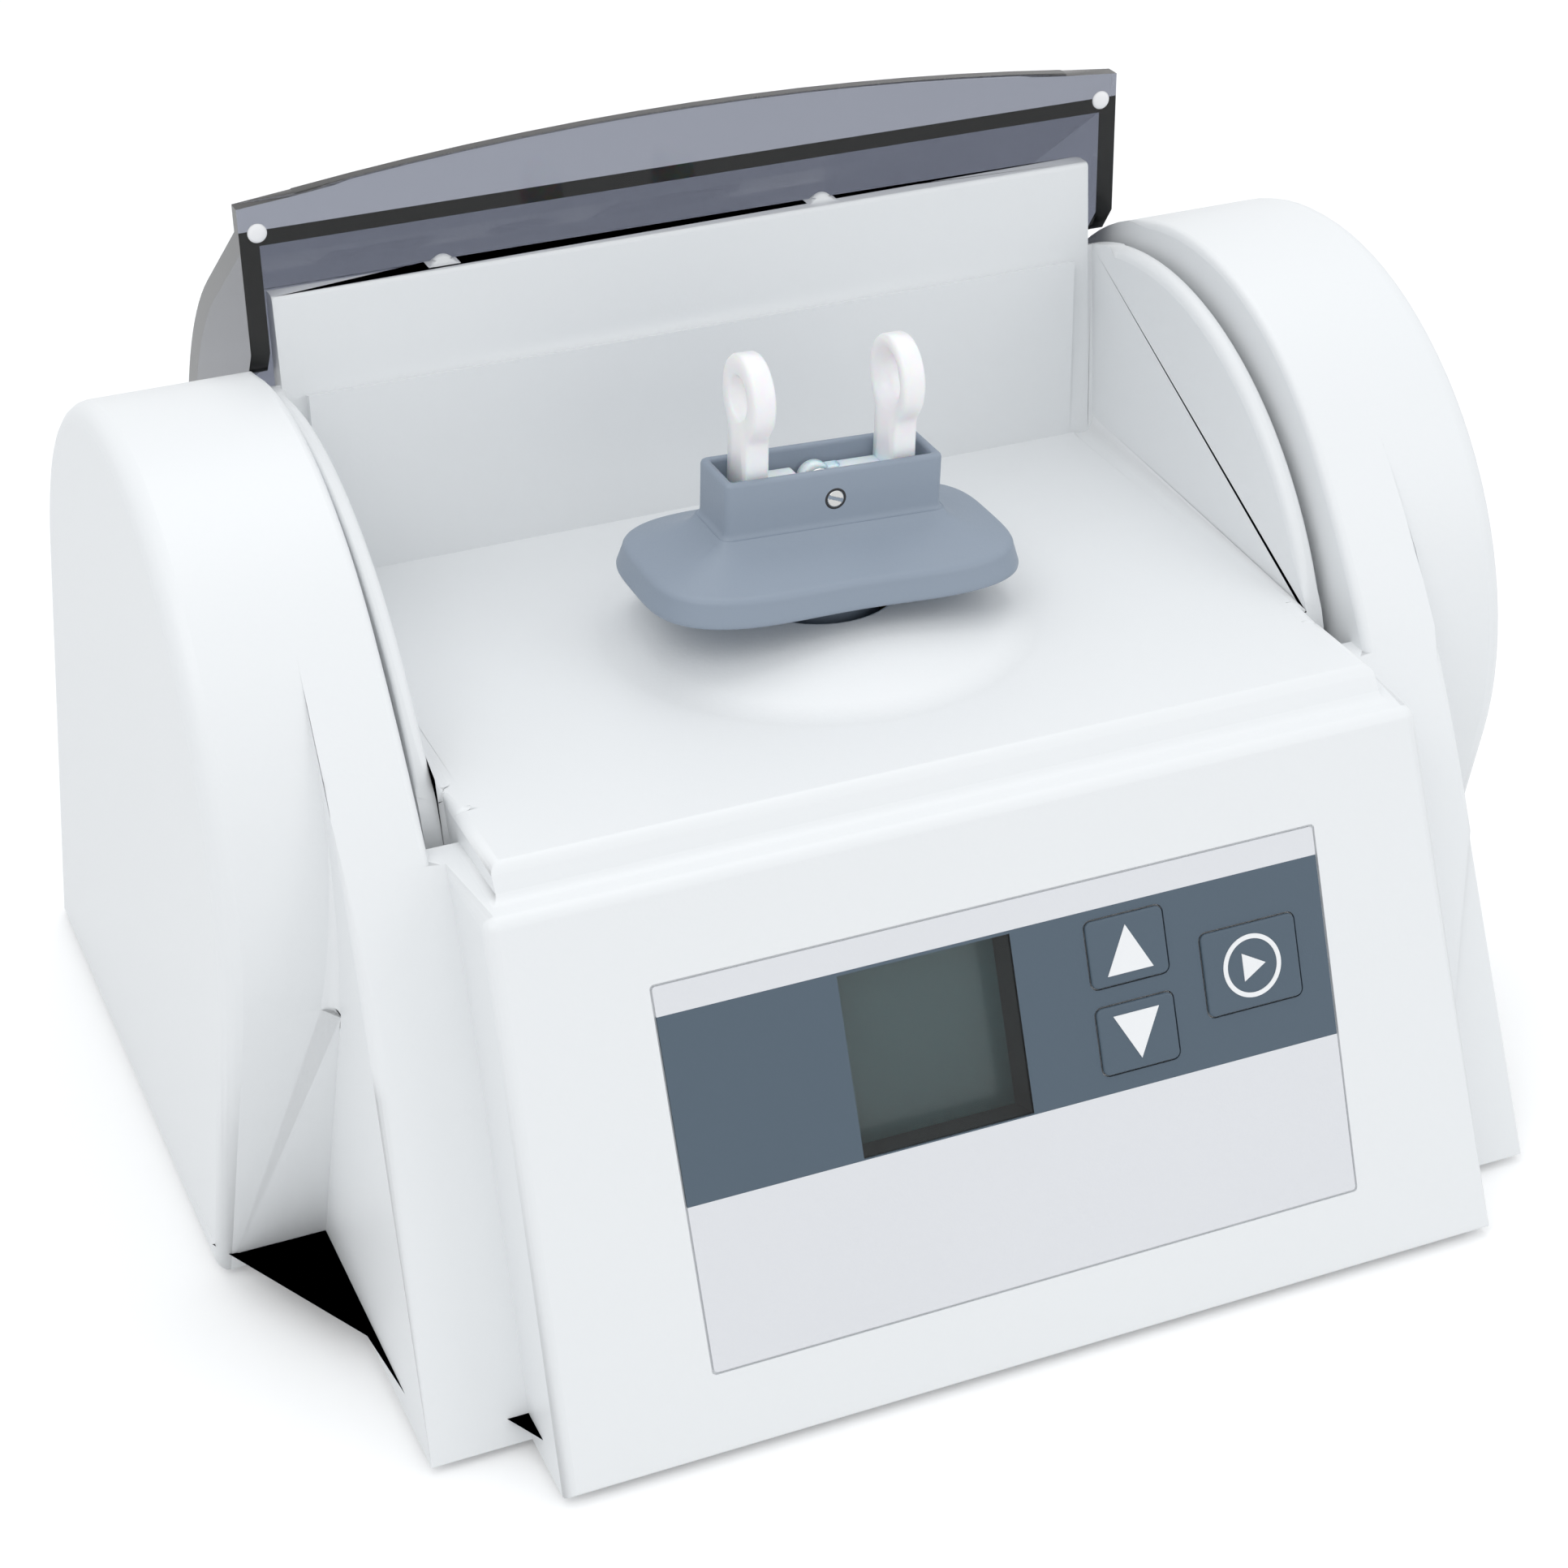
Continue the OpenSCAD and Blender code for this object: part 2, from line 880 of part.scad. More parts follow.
module magnet_seats(grow) {
    a = lid_arm_ang;
    both_sides()
        translate([lid_half_w - magnet_t - grow, pivot_y + magnet_at * cos(a), pivot_z + magnet_at * sin(a)])
            rotate([0, 90, 0])
                cylinder(r = magnet_r + grow, h = magnet_t + 2 * grow);
}

module lid_magnets() {
    color(steel)
        magnet_seats(0);
}

module lid_bumpers() {
    color("White")
        both_sides()
            translate([bumper_x, lid_front_y, bumper_z])
                rotate([90, 0, 0])
                    cylinder(r = bumper_r, h = bumper_h);
}

module lid_pins() {
    color(steel)
        both_sides()
            translate([chamber_in_x - pin_head_t, pivot_y, pivot_z])
                rotate([0, 90, 0]) {
                    cylinder(r = hinge_pin_r + 3, h = pin_head_t);
                    cylinder(r = hinge_pin_r, h = pin_head_t + tower_inner_x + wall - chamber_in_x - part_clear);
                }
}

module lid_washers() {
    gap = 0.15;
    spans = [
        [chamber_half_w, lid_half_w - lid_t - gap],
        [lid_half_w + gap, tower_inner_x]
    ];
    color("White")
        both_sides()
            for (s = spans)
                translate([s[0], pivot_y, pivot_z])
                    rotate([0, 90, 0])
                        ring(hinge_pin_r + bore_clear, hinge_pin_r + 4, s[1] - s[0]);
}

module reed_switch() {
    color("DarkGreen")
        translate([chamber_in_x - 4, pivot_y - 8, pivot_z + magnet_at - 3])
            cube([4, 20, 6]);
}

// Control panel

module key_places() {
    on_front(arrow_x, up_u)
        children();
    on_front(arrow_x, down_u)
        children();
    on_front(start_x, start_u)
        children();
}

module key_shape(size, grow = 0) {
    rounded_rect(size + 2 * [grow, grow], key_r + grow);
}

module panel_foil() {
    color("LightSlateGray")
        difference() {
            on_front(foil_x, foil_u)
                translate([0, 0, -foil_t])
                    linear_extrude(foil_t)
                        rounded_rect([foil_w, foil_h], 0.6);
            on_front(window_x, window_u)
                translate([0, 0, -2])
                    linear_extrude(4)
                        square([window_w, window_h], center = true);
            for (u = [up_u, down_u])
                on_front(arrow_x, u)
                    translate([0, 0, -2])
                        linear_extrude(4)
                            key_shape(arrow_key, part_clear);
            on_front(start_x, start_u)
                translate([0, 0, -2])
                    linear_extrude(4)
                        key_shape(start_key_size, part_clear);
        }
}

module lcd_window() {
    color([0.6, 0.75, 0.78, 0.5])
        on_front(window_x, window_u)
            translate([0, 0, -foil_t])
                linear_extrude(foil_t)
                    square([window_w, window_h], center = true);
}

module display_outline(grow) {
    square([window_w + 2 * grow, window_h + 2 * grow], center = true);
}

// Dark tube between the window and the display
module lcd_frame() {
    seat_gap = 0.1;
    color(black)
        on_front(window_x, window_u)
            translate([0, 0, -board_front])
                linear_extrude(board_front - foil_t - seat_gap)
                    difference() {
                        display_outline(frame_t);
                        display_outline(0);
                    }
}

module lcd_module() {
    color([0.28, 0.38, 0.42])
        on_front(window_x, window_u)
            translate([0, 0, -board_front])
                linear_extrude(display_t)
                    display_outline(-bore_clear);
}

module control_board() {
    color("DarkGreen")
        difference() {
            on_front(foil_x, foil_u)
                translate([0, 0, -board_front - board_t])
                    linear_extrude(board_t)
                        square([board_w, board_h], center = true);
            for (sx = [-1, 1], su = [-1, 1])
                on_front(foil_x + sx * (board_w / 2 - 4), foil_u + su * (board_h / 2 - 4))
                    translate([0, 0, -board_front - 4])
                        cylinder(r = 1.6, h = 8);
        }
}

module board_screws() {
    color(steel)
        for (sx = [-1, 1], su = [-1, 1])
            on_front(foil_x + sx * (board_w / 2 - 4), foil_u + su * (board_h / 2 - 4))
                translate([0, 0, -board_front - board_t - 1.6]) {
                    cylinder(r = 2.6, h = 1.6);
                    cylinder(r = 1.15, h = 7);
                }
}

module tact_switches() {
    gap = 0.1;
    height = board_front - key_stem_end - key_travel - gap;
    color(black)
        key_places()
            translate([0, 0, -board_front]) {
                translate([-3, -3, 0])
                    cube([6, 6, height - 0.6]);
                cylinder(r = 1.6, h = height);
            }
}

module key(size) {
    translate([0, 0, key_proud - 0.9])
        linear_extrude(0.9)
            key_shape(size);
    translate([0, 0, -key_stem_end])
        cylinder(r = key_stem_r, h = key_stem_end);
}

module up_key() {
    color("SlateGray")
        on_front(arrow_x, up_u)
            key(arrow_key);
}

module down_key() {
    color("SlateGray")
        on_front(arrow_x, down_u)
            key(arrow_key);
}

module start_key() {
    color("SlateGray")
        on_front(start_x, start_u)
            key(start_key_size);
}

module arrow(half_w, h) {
    translate([0, 0, key_proud])
        linear_extrude(mark_t)
            polygon([[-half_w, -h / 2], [half_w, -h / 2], [0, h / 2]]);
}

module up_arrow() {
    color("White")
        on_front(arrow_x, up_u)
            arrow(4.2, 8);
}

module down_arrow() {
    color("White")
        on_front(arrow_x, down_u)
            rotate(180)
                arrow(4.2, 8);
}

// A plain run symbol: a triangle in a ring
module start_mark() {
    color("White")
        on_front(start_x, start_u) {
            translate([0, 0, key_proud])
                ring(4.6, 5.4, mark_t);
            translate([0.4, 0, 0])
                rotate(-90)
                    arrow(2.4, 4.2);
        }
}

// Capsule holder

module skirt_2d(inset = 0) {
    x = skirt_half_w - inset;
    y = skirt_half_d - inset;
    r = 11;
    waist_r = 150;
    waist_depth = 1.4;
    difference() {
        intersection() {
            rounded_rect([2 * x, 2 * y], r);
            circle(x, $fn = 180);
        }
        for (s = [-1, 1])
            translate([0, s * (y + waist_r - waist_depth)])
                circle(waist_r, $fn = 360);
    }
}

// Radius of a crown that drops by skirt_crown over a half width
function crown_r(half_w) = (pow(half_w, 2) + pow(skirt_crown, 2)) / (2 * skirt_crown);

module skirt(inset) {
    top = skirt_z + skirt_rim_h + skirt_crown;
    long_r = crown_r(skirt_half_w);
    cross_r = crown_r(skirt_half_d);
    intersection() {
        on_motor_axis(skirt_z - (inset > 0 ? 1 : 0))
            linear_extrude(30)
                skirt_2d(inset);
        on_motor_axis(top - long_r)
            rotate([90, 0, 0])
                cylinder(r = long_r - inset, h = 100, center = true, $fn = 360);
        on_motor_axis(top - cross_r)
            rotate([0, 90, 0])
                cylinder(r = cross_r - inset, h = 100, center = true, $fn = 240);
    }
}

module holder() {
    color(grey_blue)
        tilted()
            difference() {
                union() {
                    difference() {
                        skirt(0);
                        skirt(skirt_t);
                    }
                    on_motor_axis(skirt_z + 4)
                        linear_extrude(tray_z - skirt_z - 4)
                            rounded_rect([2 * tray_half_w, 2 * tray_half_d], 1.5);
                    on_motor_axis(hub_z)
                        cylinder(r = hub_r, h = tray_floor_z - hub_z - 2);
                }
                on_motor_axis(tray_floor_z)
                    linear_extrude(20)
                        rounded_rect([2 * (tray_half_w - tray_t), 2 * (tray_half_d - tray_t)], 0.8);
                on_motor_axis(hub_z - 1)
                    cylinder(r = hub_bearing_r - 1, h = tray_floor_z - hub_z - 0.6);
                on_motor_axis(bearing_seat_z)
                    cylinder(r = hub_bearing_r, h = 2 * bearing_w + bearing_gap);
                translate([0, mixer_y + tray_half_d + 1, fork_pin_z])
                    rotate([90, 0, 0])
                        cylinder(r = fork_pin_r, h = 2 * tray_half_d + 2);
            }
}

// One fork for the side given by s; its knuckle lies on the same side of the middle
module fork(s) {
    ring_x = (fork_in_x + fork_out_x) / 2;
    translate([0, mixer_y, 0])
        difference() {
            union() {
                fork_box(s, fork_knuckle_r + 1, fork_out_x, -fork_half_d, fork_half_d);
                fork_box(s, 0, fork_knuckle_r + 1.2, s * fork_lap, s * fork_half_d);
                translate([0, s > 0 ? fork_half_d : -fork_lap, fork_pin_z])
                    rotate([90, 0, 0])
                        cylinder(r = fork_knuckle_r, h = fork_half_d - fork_lap);
                translate([s * ring_x, 0, 0])
                    mirror([s > 0 ? 0 : 1, 0, 0])
                        fork_arm(fork_t);
            }
            translate([0, fork_half_d + 1, fork_pin_z])
                rotate([90, 0, 0])
                    cylinder(r = fork_pin_r + bore_clear, h = 2 * fork_half_d + 2);
            translate([0, 0, ring_z])
                rotate([0, 90, 0])
                    translate([0, 0, -20])
                        cylinder(r = ring_hole_r, h = 40);
        }
}

module fork_box(s, x0, x1, y0, y1) {
    translate([s > 0 ? x0 : -x1, min(y0, y1), fork_pin_z - fork_foot_h])
        cube([x1 - x0, abs(y1 - y0), 2 * fork_foot_h]);
}

// Upright arm that ends in a ring
module fork_arm(t) {
    translate([-t / 2, -fork_half_d, fork_pin_z])
        cube([t, 2 * fork_half_d, ring_z - fork_pin_z - 3]);
    translate([-t / 2, 0, ring_z])
        rotate([0, 90, 0])
            cylinder(r = ring_r, h = t);
}

module left_fork() {
    color("White")
        tilted()
            fork(-1);
}

module right_fork() {
    color("White")
        tilted()
            fork(1);
}

module fork_pin() {
    slot_w = 0.5;
    color(steel)
        tilted()
            difference() {
                translate([0, mixer_y + tray_half_d, fork_pin_z])
                    rotate([90, 0, 0])
                        cylinder(r = fork_pin_r, h = 2 * tray_half_d - 0.2);
                translate([-2, mixer_y - tray_half_d - 1, fork_pin_z - slot_w / 2])
                    cube([4, 1.8, slot_w]);
            }
}

// Coil round the fork pin between the two knuckles
module fork_spring() {
    wire_r = 0.35;
    turns = 4;
    color(steel)
        tilted()
            for (i = [0:turns - 1])
                translate([0, mixer_y + (i - (turns - 1) / 2) * 2.1 * wire_r, fork_pin_z])
                    rotate([90, 0, 0])
                        rotate_extrude()
                            translate([2.3, 0])
                                circle(wire_r, $fn = 24);
}

module ball_bearing(r_in, r_out, w) {
    ring_t = (r_out - r_in) * 0.28;
    ring(r_in, r_in + ring_t, w);
    ring(r_out - ring_t, r_out, w);
    translate([0, 0, 0.1 * w])
        ring(r_in + ring_t, r_out - ring_t, 0.8 * w);
}

module hub_bearings() {
    color(steel)
        tilted()
            for (i = [0, 1])
                on_motor_axis(bearing_seat_z + i * (bearing_w + bearing_gap))
                    ball_bearing(shaft_r + bore_clear, hub_bearing_r, bearing_w);
}

// Drive

module rotor_shaft() {
    color(steel)
        union() {
            on_motor_axis(motor_z + 3)
                cylinder(r = shaft_r, h = crank_top_z - motor_z - 3);
            on_motor_axis(crank_z)
                cylinder(r = crank_r, h = crank_t);
            tilted()
                difference() {
                    on_motor_axis(crank_top_z - 1)
                        cylinder(r = shaft_r, h = journal_top_z - crank_top_z + 1);
                    on_motor_axis(clip_z)
                        ring(shaft_r - 0.6, shaft_r + 1, clip_t);
                }
        }
}

module hub_clip() {
    color(black)
        tilted()
            on_motor_axis(clip_z)
                ring(shaft_r - 0.6, shaft_r + 1.4, clip_t);
}

module counterweight() {
    color("DarkGoldenrod")
        on_motor_axis(crank_z)
            difference() {
                ring(crank_r, weight_r, crank_t);
                translate([-2 * weight_r - 4, -weight_r - 1, -1])
                    cube([2 * weight_r, 2 * weight_r + 2, crank_t + 2]);
            }
}

module rotor_core() {
    color("DarkGray")
        on_motor_axis(motor_z + (motor_h - core_h) / 2)
            ring(shaft_r, motor_r - can_wall - winding_t - core_gap, core_h);
}

module motor_can() {
    color("SlateGray")
        on_motor_axis(motor_z)
            difference() {
                cylinder(r = motor_r, h = motor_h);
                translate([0, 0, motor_bearing_w + can_wall])
                    cylinder(r = motor_r - can_wall, h = motor_h - 2 * (motor_bearing_w + can_wall));
                translate([0, 0, can_wall])
                    cylinder(r = motor_bearing_r, h = motor_h);
                translate([0, 0, -1])
                    cylinder(r = shaft_r + 1, h = 10);
            }
}

module motor_windings() {
    color("Chocolate")
        on_motor_axis(motor_z + (motor_h - winding_h) / 2)
            ring(motor_r - can_wall - winding_t, motor_r - can_wall, winding_h);
}

module motor_bearings() {
    color(steel)
        for (z = [motor_z + 3, bracket_z - motor_bearing_w])
            on_motor_axis(z)
                ball_bearing(shaft_r + bore_clear, motor_bearing_r, motor_bearing_w);
}

module motor_bracket() {
    color(steel)
        on_motor_axis(bracket_z)
            difference() {
                linear_extrude(bracket_t)
                    rounded_rect([2 * buffer_x + 18, 2 * buffer_y + 18], 6);
                translate([0, 0, -1])
                    cylinder(r = 12, h = 10);
                for (sx = [-1, 1], sy = [-1, 1])
                    translate([sx * buffer_x, sy * buffer_y, -1])
                        cylinder(r = 1.8, h = 10);
            }
}

module motor_buffers() {
    color(black)
        for (sx = [-1, 1], sy = [-1, 1])
            translate([sx * buffer_x, mixer_y + sy * buffer_y, bracket_z + bracket_t])
                ring(1.6, buffer_r, buffer_h);
}

module bracket_screws() {
    color(steel)
        for (sx = [-1, 1], sy = [-1, 1])
            translate([sx * buffer_x, mixer_y + sy * buffer_y, bracket_z - 2]) {
                cylinder(r = 3.4, h = 2);
                cylinder(r = 1.55, h = floor_z - wall - bracket_z + 3.4);
            }
}

// Two coil springs that keep the holder from turning with the crank
module restraint_springs() {
    first = hub_r + 1.2;
    color(steel)
        for (s = [-1, 1], i = [0:spring_turns - 1])
            translate([0, mixer_y + s * (first + i * spring_pitch), spring_z])
                rotate([90, 0, 0])
                    rotate_extrude()
                        translate([spring_coil_r, 0])
                            circle(spring_wire_r, $fn = 20);
}

// Mains side

module transformer() {
    color("Gold")
        translate([-tower_room_x - transformer_t / 2 - 1, transformer_at[0], transformer_at[1]])
            rotate([0, 90, 0])
                rotate_extrude()
                    translate([transformer_ring_w, 0])
                        rounded_rect([transformer_ring_w, transformer_t], 6);
}

module transformer_bolt() {
    color(steel)
        translate([-tower_room_x, transformer_at[0], transformer_at[1]])
            rotate([0, -90, 0]) {
                cylinder(r = 3, h = transformer_t + 2);
                translate([0, 0, transformer_t + 1])
                    cylinder(r = transformer_ring_w - 4, h = 1.4);
            }
}

module power_board() {
    color("DarkGreen")
        translate([tower_room_x, drum_y - power_board_size[1] / 2, drum_z - power_board_size[2] / 2 - 3])
            cube(power_board_size);
}

module power_parts() {
    base_x = tower_room_x + power_board_size[0];
    color(black) {
        for (y = [-20, -4])
            translate([base_x, drum_y + y, drum_z + 10])
                rotate([0, 90, 0])
                    cylinder(r = 6.5, h = power_parts_h);
        translate([base_x, drum_y + 10, drum_z - 20])
            cube([16, 20, 24]);
        translate([base_x, drum_y - 30, drum_z - 26])
            cube([9, 28, 14]);
    }
}

module mains_inlet() {
    flange_t = 2;
    depth = 17.5;
    color(black)
        on_rear(inlet_x, connector_z)
            difference() {
                union() {
                    linear_extrude(flange_t)
                        rounded_rect(inlet_size + [4, 4], 2.5);
                    translate([0, 0, -depth])
                        linear_extrude(depth + 0.1)
                            square(inlet_size, center = true);
                }
                translate([0, 0, -15])
                    linear_extrude(30)
                        socket_2d();
                for (p = blade_at)
                    translate([p[0], p[1], -depth - 1])
                        linear_extrude(depth)
                            square(blade_size, center = true);
            }
}

blade_at = [[-7, -1.8], [7, -1.8], [0, 2.2]];
blade_size = [2, 4];

// Socket outline with its two cut corners
module socket_2d() {
    x = inlet_size[0] / 2 - 1.7;
    y = inlet_size[1] / 2 - 1.7;
    polygon([[-x, -y], [x, -y], [x, y - 4], [x - 4, y], [-x + 4, y], [-x, y - 4]]);
}

module inlet_blades() {
    color(steel)
        on_rear(inlet_x, connector_z)
            for (p = blade_at)
                translate([p[0], p[1], -21])
                    linear_extrude(16)
                        square(blade_size, center = true);
}

module fuse_holder() {
    color(black)
        on_rear(fuse_x, connector_z)
            difference() {
                union() {
                    cylinder(r = fuse_r + 1.8, h = 1.6);
                    translate([0, 0, -26])
                        cylinder(r = fuse_r, h = 27);
                }
                translate([0, 0, -23])
                    cylinder(r = fuse_r - 1.4, h = 30);
            }
}

module fuse_cap() {
    color([0.2, 0.2, 0.21])
        on_rear(fuse_x, connector_z)
            difference() {
                union() {
                    translate([0, 0, -20])
                        cylinder(r = fuse_r - 1.4 - bore_clear, h = 23.4);
                    translate([0, 0, 1.8])
                        cylinder(r = fuse_r - 0.6, h = 1.8);
                }
                translate([-4, -0.6, 2.6])
                    cube([8, 1.2, 3]);
            }
}

module rocker_frame() {
    color(black)
        on_rear(rocker_x, connector_z)
            difference() {
                union() {
                    linear_extrude(1.6)
                        rounded_rect(rocker_size + [3.4, 3.4], 1.5);
                    translate([0, 0, -20])
                        linear_extrude(20.1)
                            square(rocker_size, center = true);
                }
                translate([0, 0, -12])
                    linear_extrude(20)
                        square(rocker_size - [3, 3], center = true);
                translate([0, rocker_size[1] / 2 - 0.2, -4])
                    rotate([90, 0, 0])
                        cylinder(r = rocker_axle_r + bore_clear, h = rocker_size[1] - 0.4);
            }
}

module rocker() {
    half_w = 7.6;
    top = 6.4;
    dish_r = 34.6;
    depth = rocker_size[1] - 3.8;
    color([0.16, 0.16, 0.17])
        on_rear(rocker_x, connector_z)
            translate([0, depth / 2, -4])
                rotate([90, 0, 0]) {
                    linear_extrude(depth)
                        rotate(rocker_tilt)
                            difference() {
                                polygon([
                                    [-half_w + 0.6, -2],
                                    [half_w - 0.6, -2],
                                    [half_w, top],
                                    [-half_w, top]
                                ]);
                                translate([0, top + dish_r - 0.8])
                                    circle(dish_r, $fn = 360);
                            }
                    translate([0, 0, -1.2])
                        cylinder(r = rocker_axle_r, h = depth + 2.4);
                }
}

// Places the whole mixer over the middle of its footprint, with the feet on the ground
module place() {
    translate([0, -part_depth / 2, foot_proud])
        children();
}

place() housing();
place() base_plate();
place() feet();
place() base_screws();
place() lid();
place() lid_bumpers();
place() lid_magnets();
place() lid_pins();
place() lid_washers();
place() reed_switch();
place() panel_foil();
place() lcd_window();
place() lcd_frame();
place() lcd_module();
place() control_board();
place() board_screws();
place() tact_switches();
place() up_key();
place() up_arrow();
place() down_key();
place() down_arrow();
place() start_key();
place() start_mark();
place() holder();
place() left_fork();
place() right_fork();
place() fork_pin();
place() fork_spring();
place() hub_bearings();
place() rotor_shaft();
place() hub_clip();
place() counterweight();
place() rotor_core();
place() motor_can();
place() motor_windings();
place() motor_bearings();
place() motor_bracket();
place() motor_buffers();
place() bracket_screws();
place() restraint_springs();
place() transformer();
place() transformer_bolt();
place() power_board();
place() power_parts();
place() mains_inlet();
place() inlet_blades();
place() fuse_holder();
place() fuse_cap();
place() rocker_frame();
place() rocker();
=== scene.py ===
"""Capsule mixer: the looks of its visible pieces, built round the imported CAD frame.

Lengths in the formulas are millimetres on the mixer's own axes: X across from the
middle, Y back from the front foot, Z up from the housing's lower rim.
"""

import functools
import math

import bmesh
import bpy
import numpy as np
from mathutils import Matrix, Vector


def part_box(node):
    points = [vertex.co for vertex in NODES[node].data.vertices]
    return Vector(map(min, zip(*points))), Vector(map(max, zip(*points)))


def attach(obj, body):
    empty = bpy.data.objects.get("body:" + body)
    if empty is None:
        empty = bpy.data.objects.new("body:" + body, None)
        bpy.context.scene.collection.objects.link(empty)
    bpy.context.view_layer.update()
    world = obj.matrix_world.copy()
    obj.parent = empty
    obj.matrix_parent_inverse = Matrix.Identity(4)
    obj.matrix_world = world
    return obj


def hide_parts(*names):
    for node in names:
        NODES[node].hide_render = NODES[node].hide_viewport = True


bl_info = {
    "name": "Capsule Mixer Looks",
    "version": (1, 0, 0),
    "blender": (4, 5, 0),
    "location": "View3D > Sidebar > Mixer",
    "description": "Visible pieces and finishes of a bench capsule mixer",
    "category": "Object",
}

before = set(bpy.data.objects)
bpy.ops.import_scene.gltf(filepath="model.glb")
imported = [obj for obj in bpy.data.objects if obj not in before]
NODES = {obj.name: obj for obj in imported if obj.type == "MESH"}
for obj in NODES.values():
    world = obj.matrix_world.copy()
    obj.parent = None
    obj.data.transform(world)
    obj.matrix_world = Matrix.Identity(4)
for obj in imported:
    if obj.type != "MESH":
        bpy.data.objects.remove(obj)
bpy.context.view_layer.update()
MM = 0.001
HOUSING_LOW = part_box("housing")[0]
FOOT = np.array([0.0, HOUSING_LOW.y, HOUSING_LOW.z])

# Places that the shapes share with the CAD, in millimetres
FRONT_TILT = math.radians(20.3)
MIXER_Y = 95.0
SWASH_Z = 104.0
SWASH_TILT = math.radians(2.5)
PIN_Z = 118.2
PIVOT_Y, PIVOT_Z = 126.0, 67.0
FLOOR_Z = 92.7
SLAB_X = 78.2
TOWER_X = 84.3
WALL_X = (79.3, 82.3)
MOON_R = 66.5
ARM_X = (82.65, 84.0)
MAGNET = (PIVOT_Y + 18 * math.cos(math.radians(6)), PIVOT_Z - 18 * math.sin(math.radians(6)))
LID_R = 88.4
LID_TURN = math.radians(55.09)

# Points nearer to each other than this, in metres, are made one
TOUCHING = 3e-6


# Coordinates


def placed(points):
    """Millimetres on the mixer's own axes to metres in the row frame."""
    return np.asarray(points, float) * MM + FOOT


def drawn(points):
    """The reverse of placed."""
    return (np.asarray(points, float) - FOOT) / MM


def swashed(points):
    """Turns points by the crank's tilt about the place where its axis meets the motor's."""
    p = np.asarray(points, float) - [0, MIXER_Y, SWASH_Z]
    c, s = math.cos(SWASH_TILT), math.sin(SWASH_TILT)
    turned = np.stack([p[..., 0] * c + p[..., 2] * s, p[..., 1], -p[..., 0] * s + p[..., 2] * c], -1)
    return turned + [0, MIXER_Y, SWASH_Z]


# Mesh makers


def mesh_object(name, points, faces, smooth=True):
    """A mesh object at the origin from row frame points and faces."""
    mesh = bpy.data.meshes.new(name)
    mesh.from_pydata(points.tolist(), [], faces.tolist() if isinstance(faces, np.ndarray) else faces)
    mesh.validate()
    mesh.polygons.foreach_set("use_smooth", np.full(len(mesh.polygons), smooth))
    mesh.update()
    obj = bpy.data.objects.new(name, mesh)
    bpy.context.scene.collection.objects.link(obj)
    return obj


def grid_faces(rows, cols, wrap_rows=False, wrap_cols=True, start=0):
    """Quads of a grid: each cell joins a point to its next in the row and in the column."""
    r = np.arange(rows if wrap_rows else rows - 1)
    c = np.arange(cols if wrap_cols else cols - 1)
    rr, cc = np.meshgrid(r, c, indexing="ij")
    r1, c1 = (rr + 1) % rows, (cc + 1) % cols
    quads = np.stack([rr * cols + cc, rr * cols + c1, r1 * cols + c1, r1 * cols + cc], -1)
    return quads.reshape(-1, 4) + start


def grid_solid(points, wrap_rows=False):
    """A closed skin from a grid of rings. Open ends are shut with a fan to the ring's middle.
    The sign of its volume, summed over its faces, says whether the faces must be turned round."""
    rows, cols = points.shape[:2]
    flat = points.reshape(-1, 3)
    faces = grid_faces(rows, cols, wrap_rows)
    halves = np.vstack([faces[:, [0, 1, 2]], faces[:, [0, 2, 3]]])
    if not wrap_rows:
        ends = np.stack([points[0].mean(0), points[-1].mean(0)])
        i = np.arange(cols)
        j = (i + 1) % cols
        first = np.stack([np.full(cols, len(flat)), j, i, i], -1)
        last = np.stack([np.full(cols, len(flat) + 1), i + (rows - 1) * cols, j + (rows - 1) * cols], -1)
        flat = np.vstack([flat, ends])
        tris = np.vstack([first[:, :3], last])
        faces = faces.tolist() + tris.tolist()
        halves = np.vstack([halves, tris])
    else:
        faces = faces.tolist()
    a, b, c = flat[halves[:, 0]], flat[halves[:, 1]], flat[halves[:, 2]]
    if np.einsum("ij,ij->i", a, np.cross(b, c)).sum() < 0:
        faces = [f[::-1] for f in faces]
    return flat, faces


def merged(parts):
    """Several point and face lists as one."""
    points, faces, n = [], [], 0
    for p, f in parts:
        points.append(p)
        faces += [[i + n for i in face] for face in f]
        n += len(p)
    return np.vstack(points), faces


def rounded_box(middle, half, r, n=24):
    """A box with rounded edges: a sphere of radius r whose eight parts are moved out to the corners.
    Each point is the corner in its direction plus r times the direction."""
    u = np.linspace(0, 2 * np.pi, 4 * n, endpoint=False) + np.pi / 4
    v = np.linspace(-np.pi / 2, np.pi / 2, 2 * n)[1:-1]
    vv, uu = np.meshgrid(v, u, indexing="ij")
    way = np.stack([np.cos(vv) * np.cos(uu), np.cos(vv) * np.sin(uu), np.sin(vv)], -1)
    corner = np.clip(way * 40, -1, 1) * (np.asarray(half) - r)
    return grid_solid(np.asarray(middle) + corner + r * way)


def turned_solid(profile, sides=48):
    """A solid of revolution about the local Z axis: each profile point (radius, height) sweeps a ring."""
    a = np.linspace(0, 2 * np.pi, sides, endpoint=False)
    r, h = np.asarray(profile, float).T
    ring = np.stack([np.outer(r, np.cos(a)), np.outer(r, np.sin(a)), np.outer(h, np.ones(sides))], -1)
    return ring


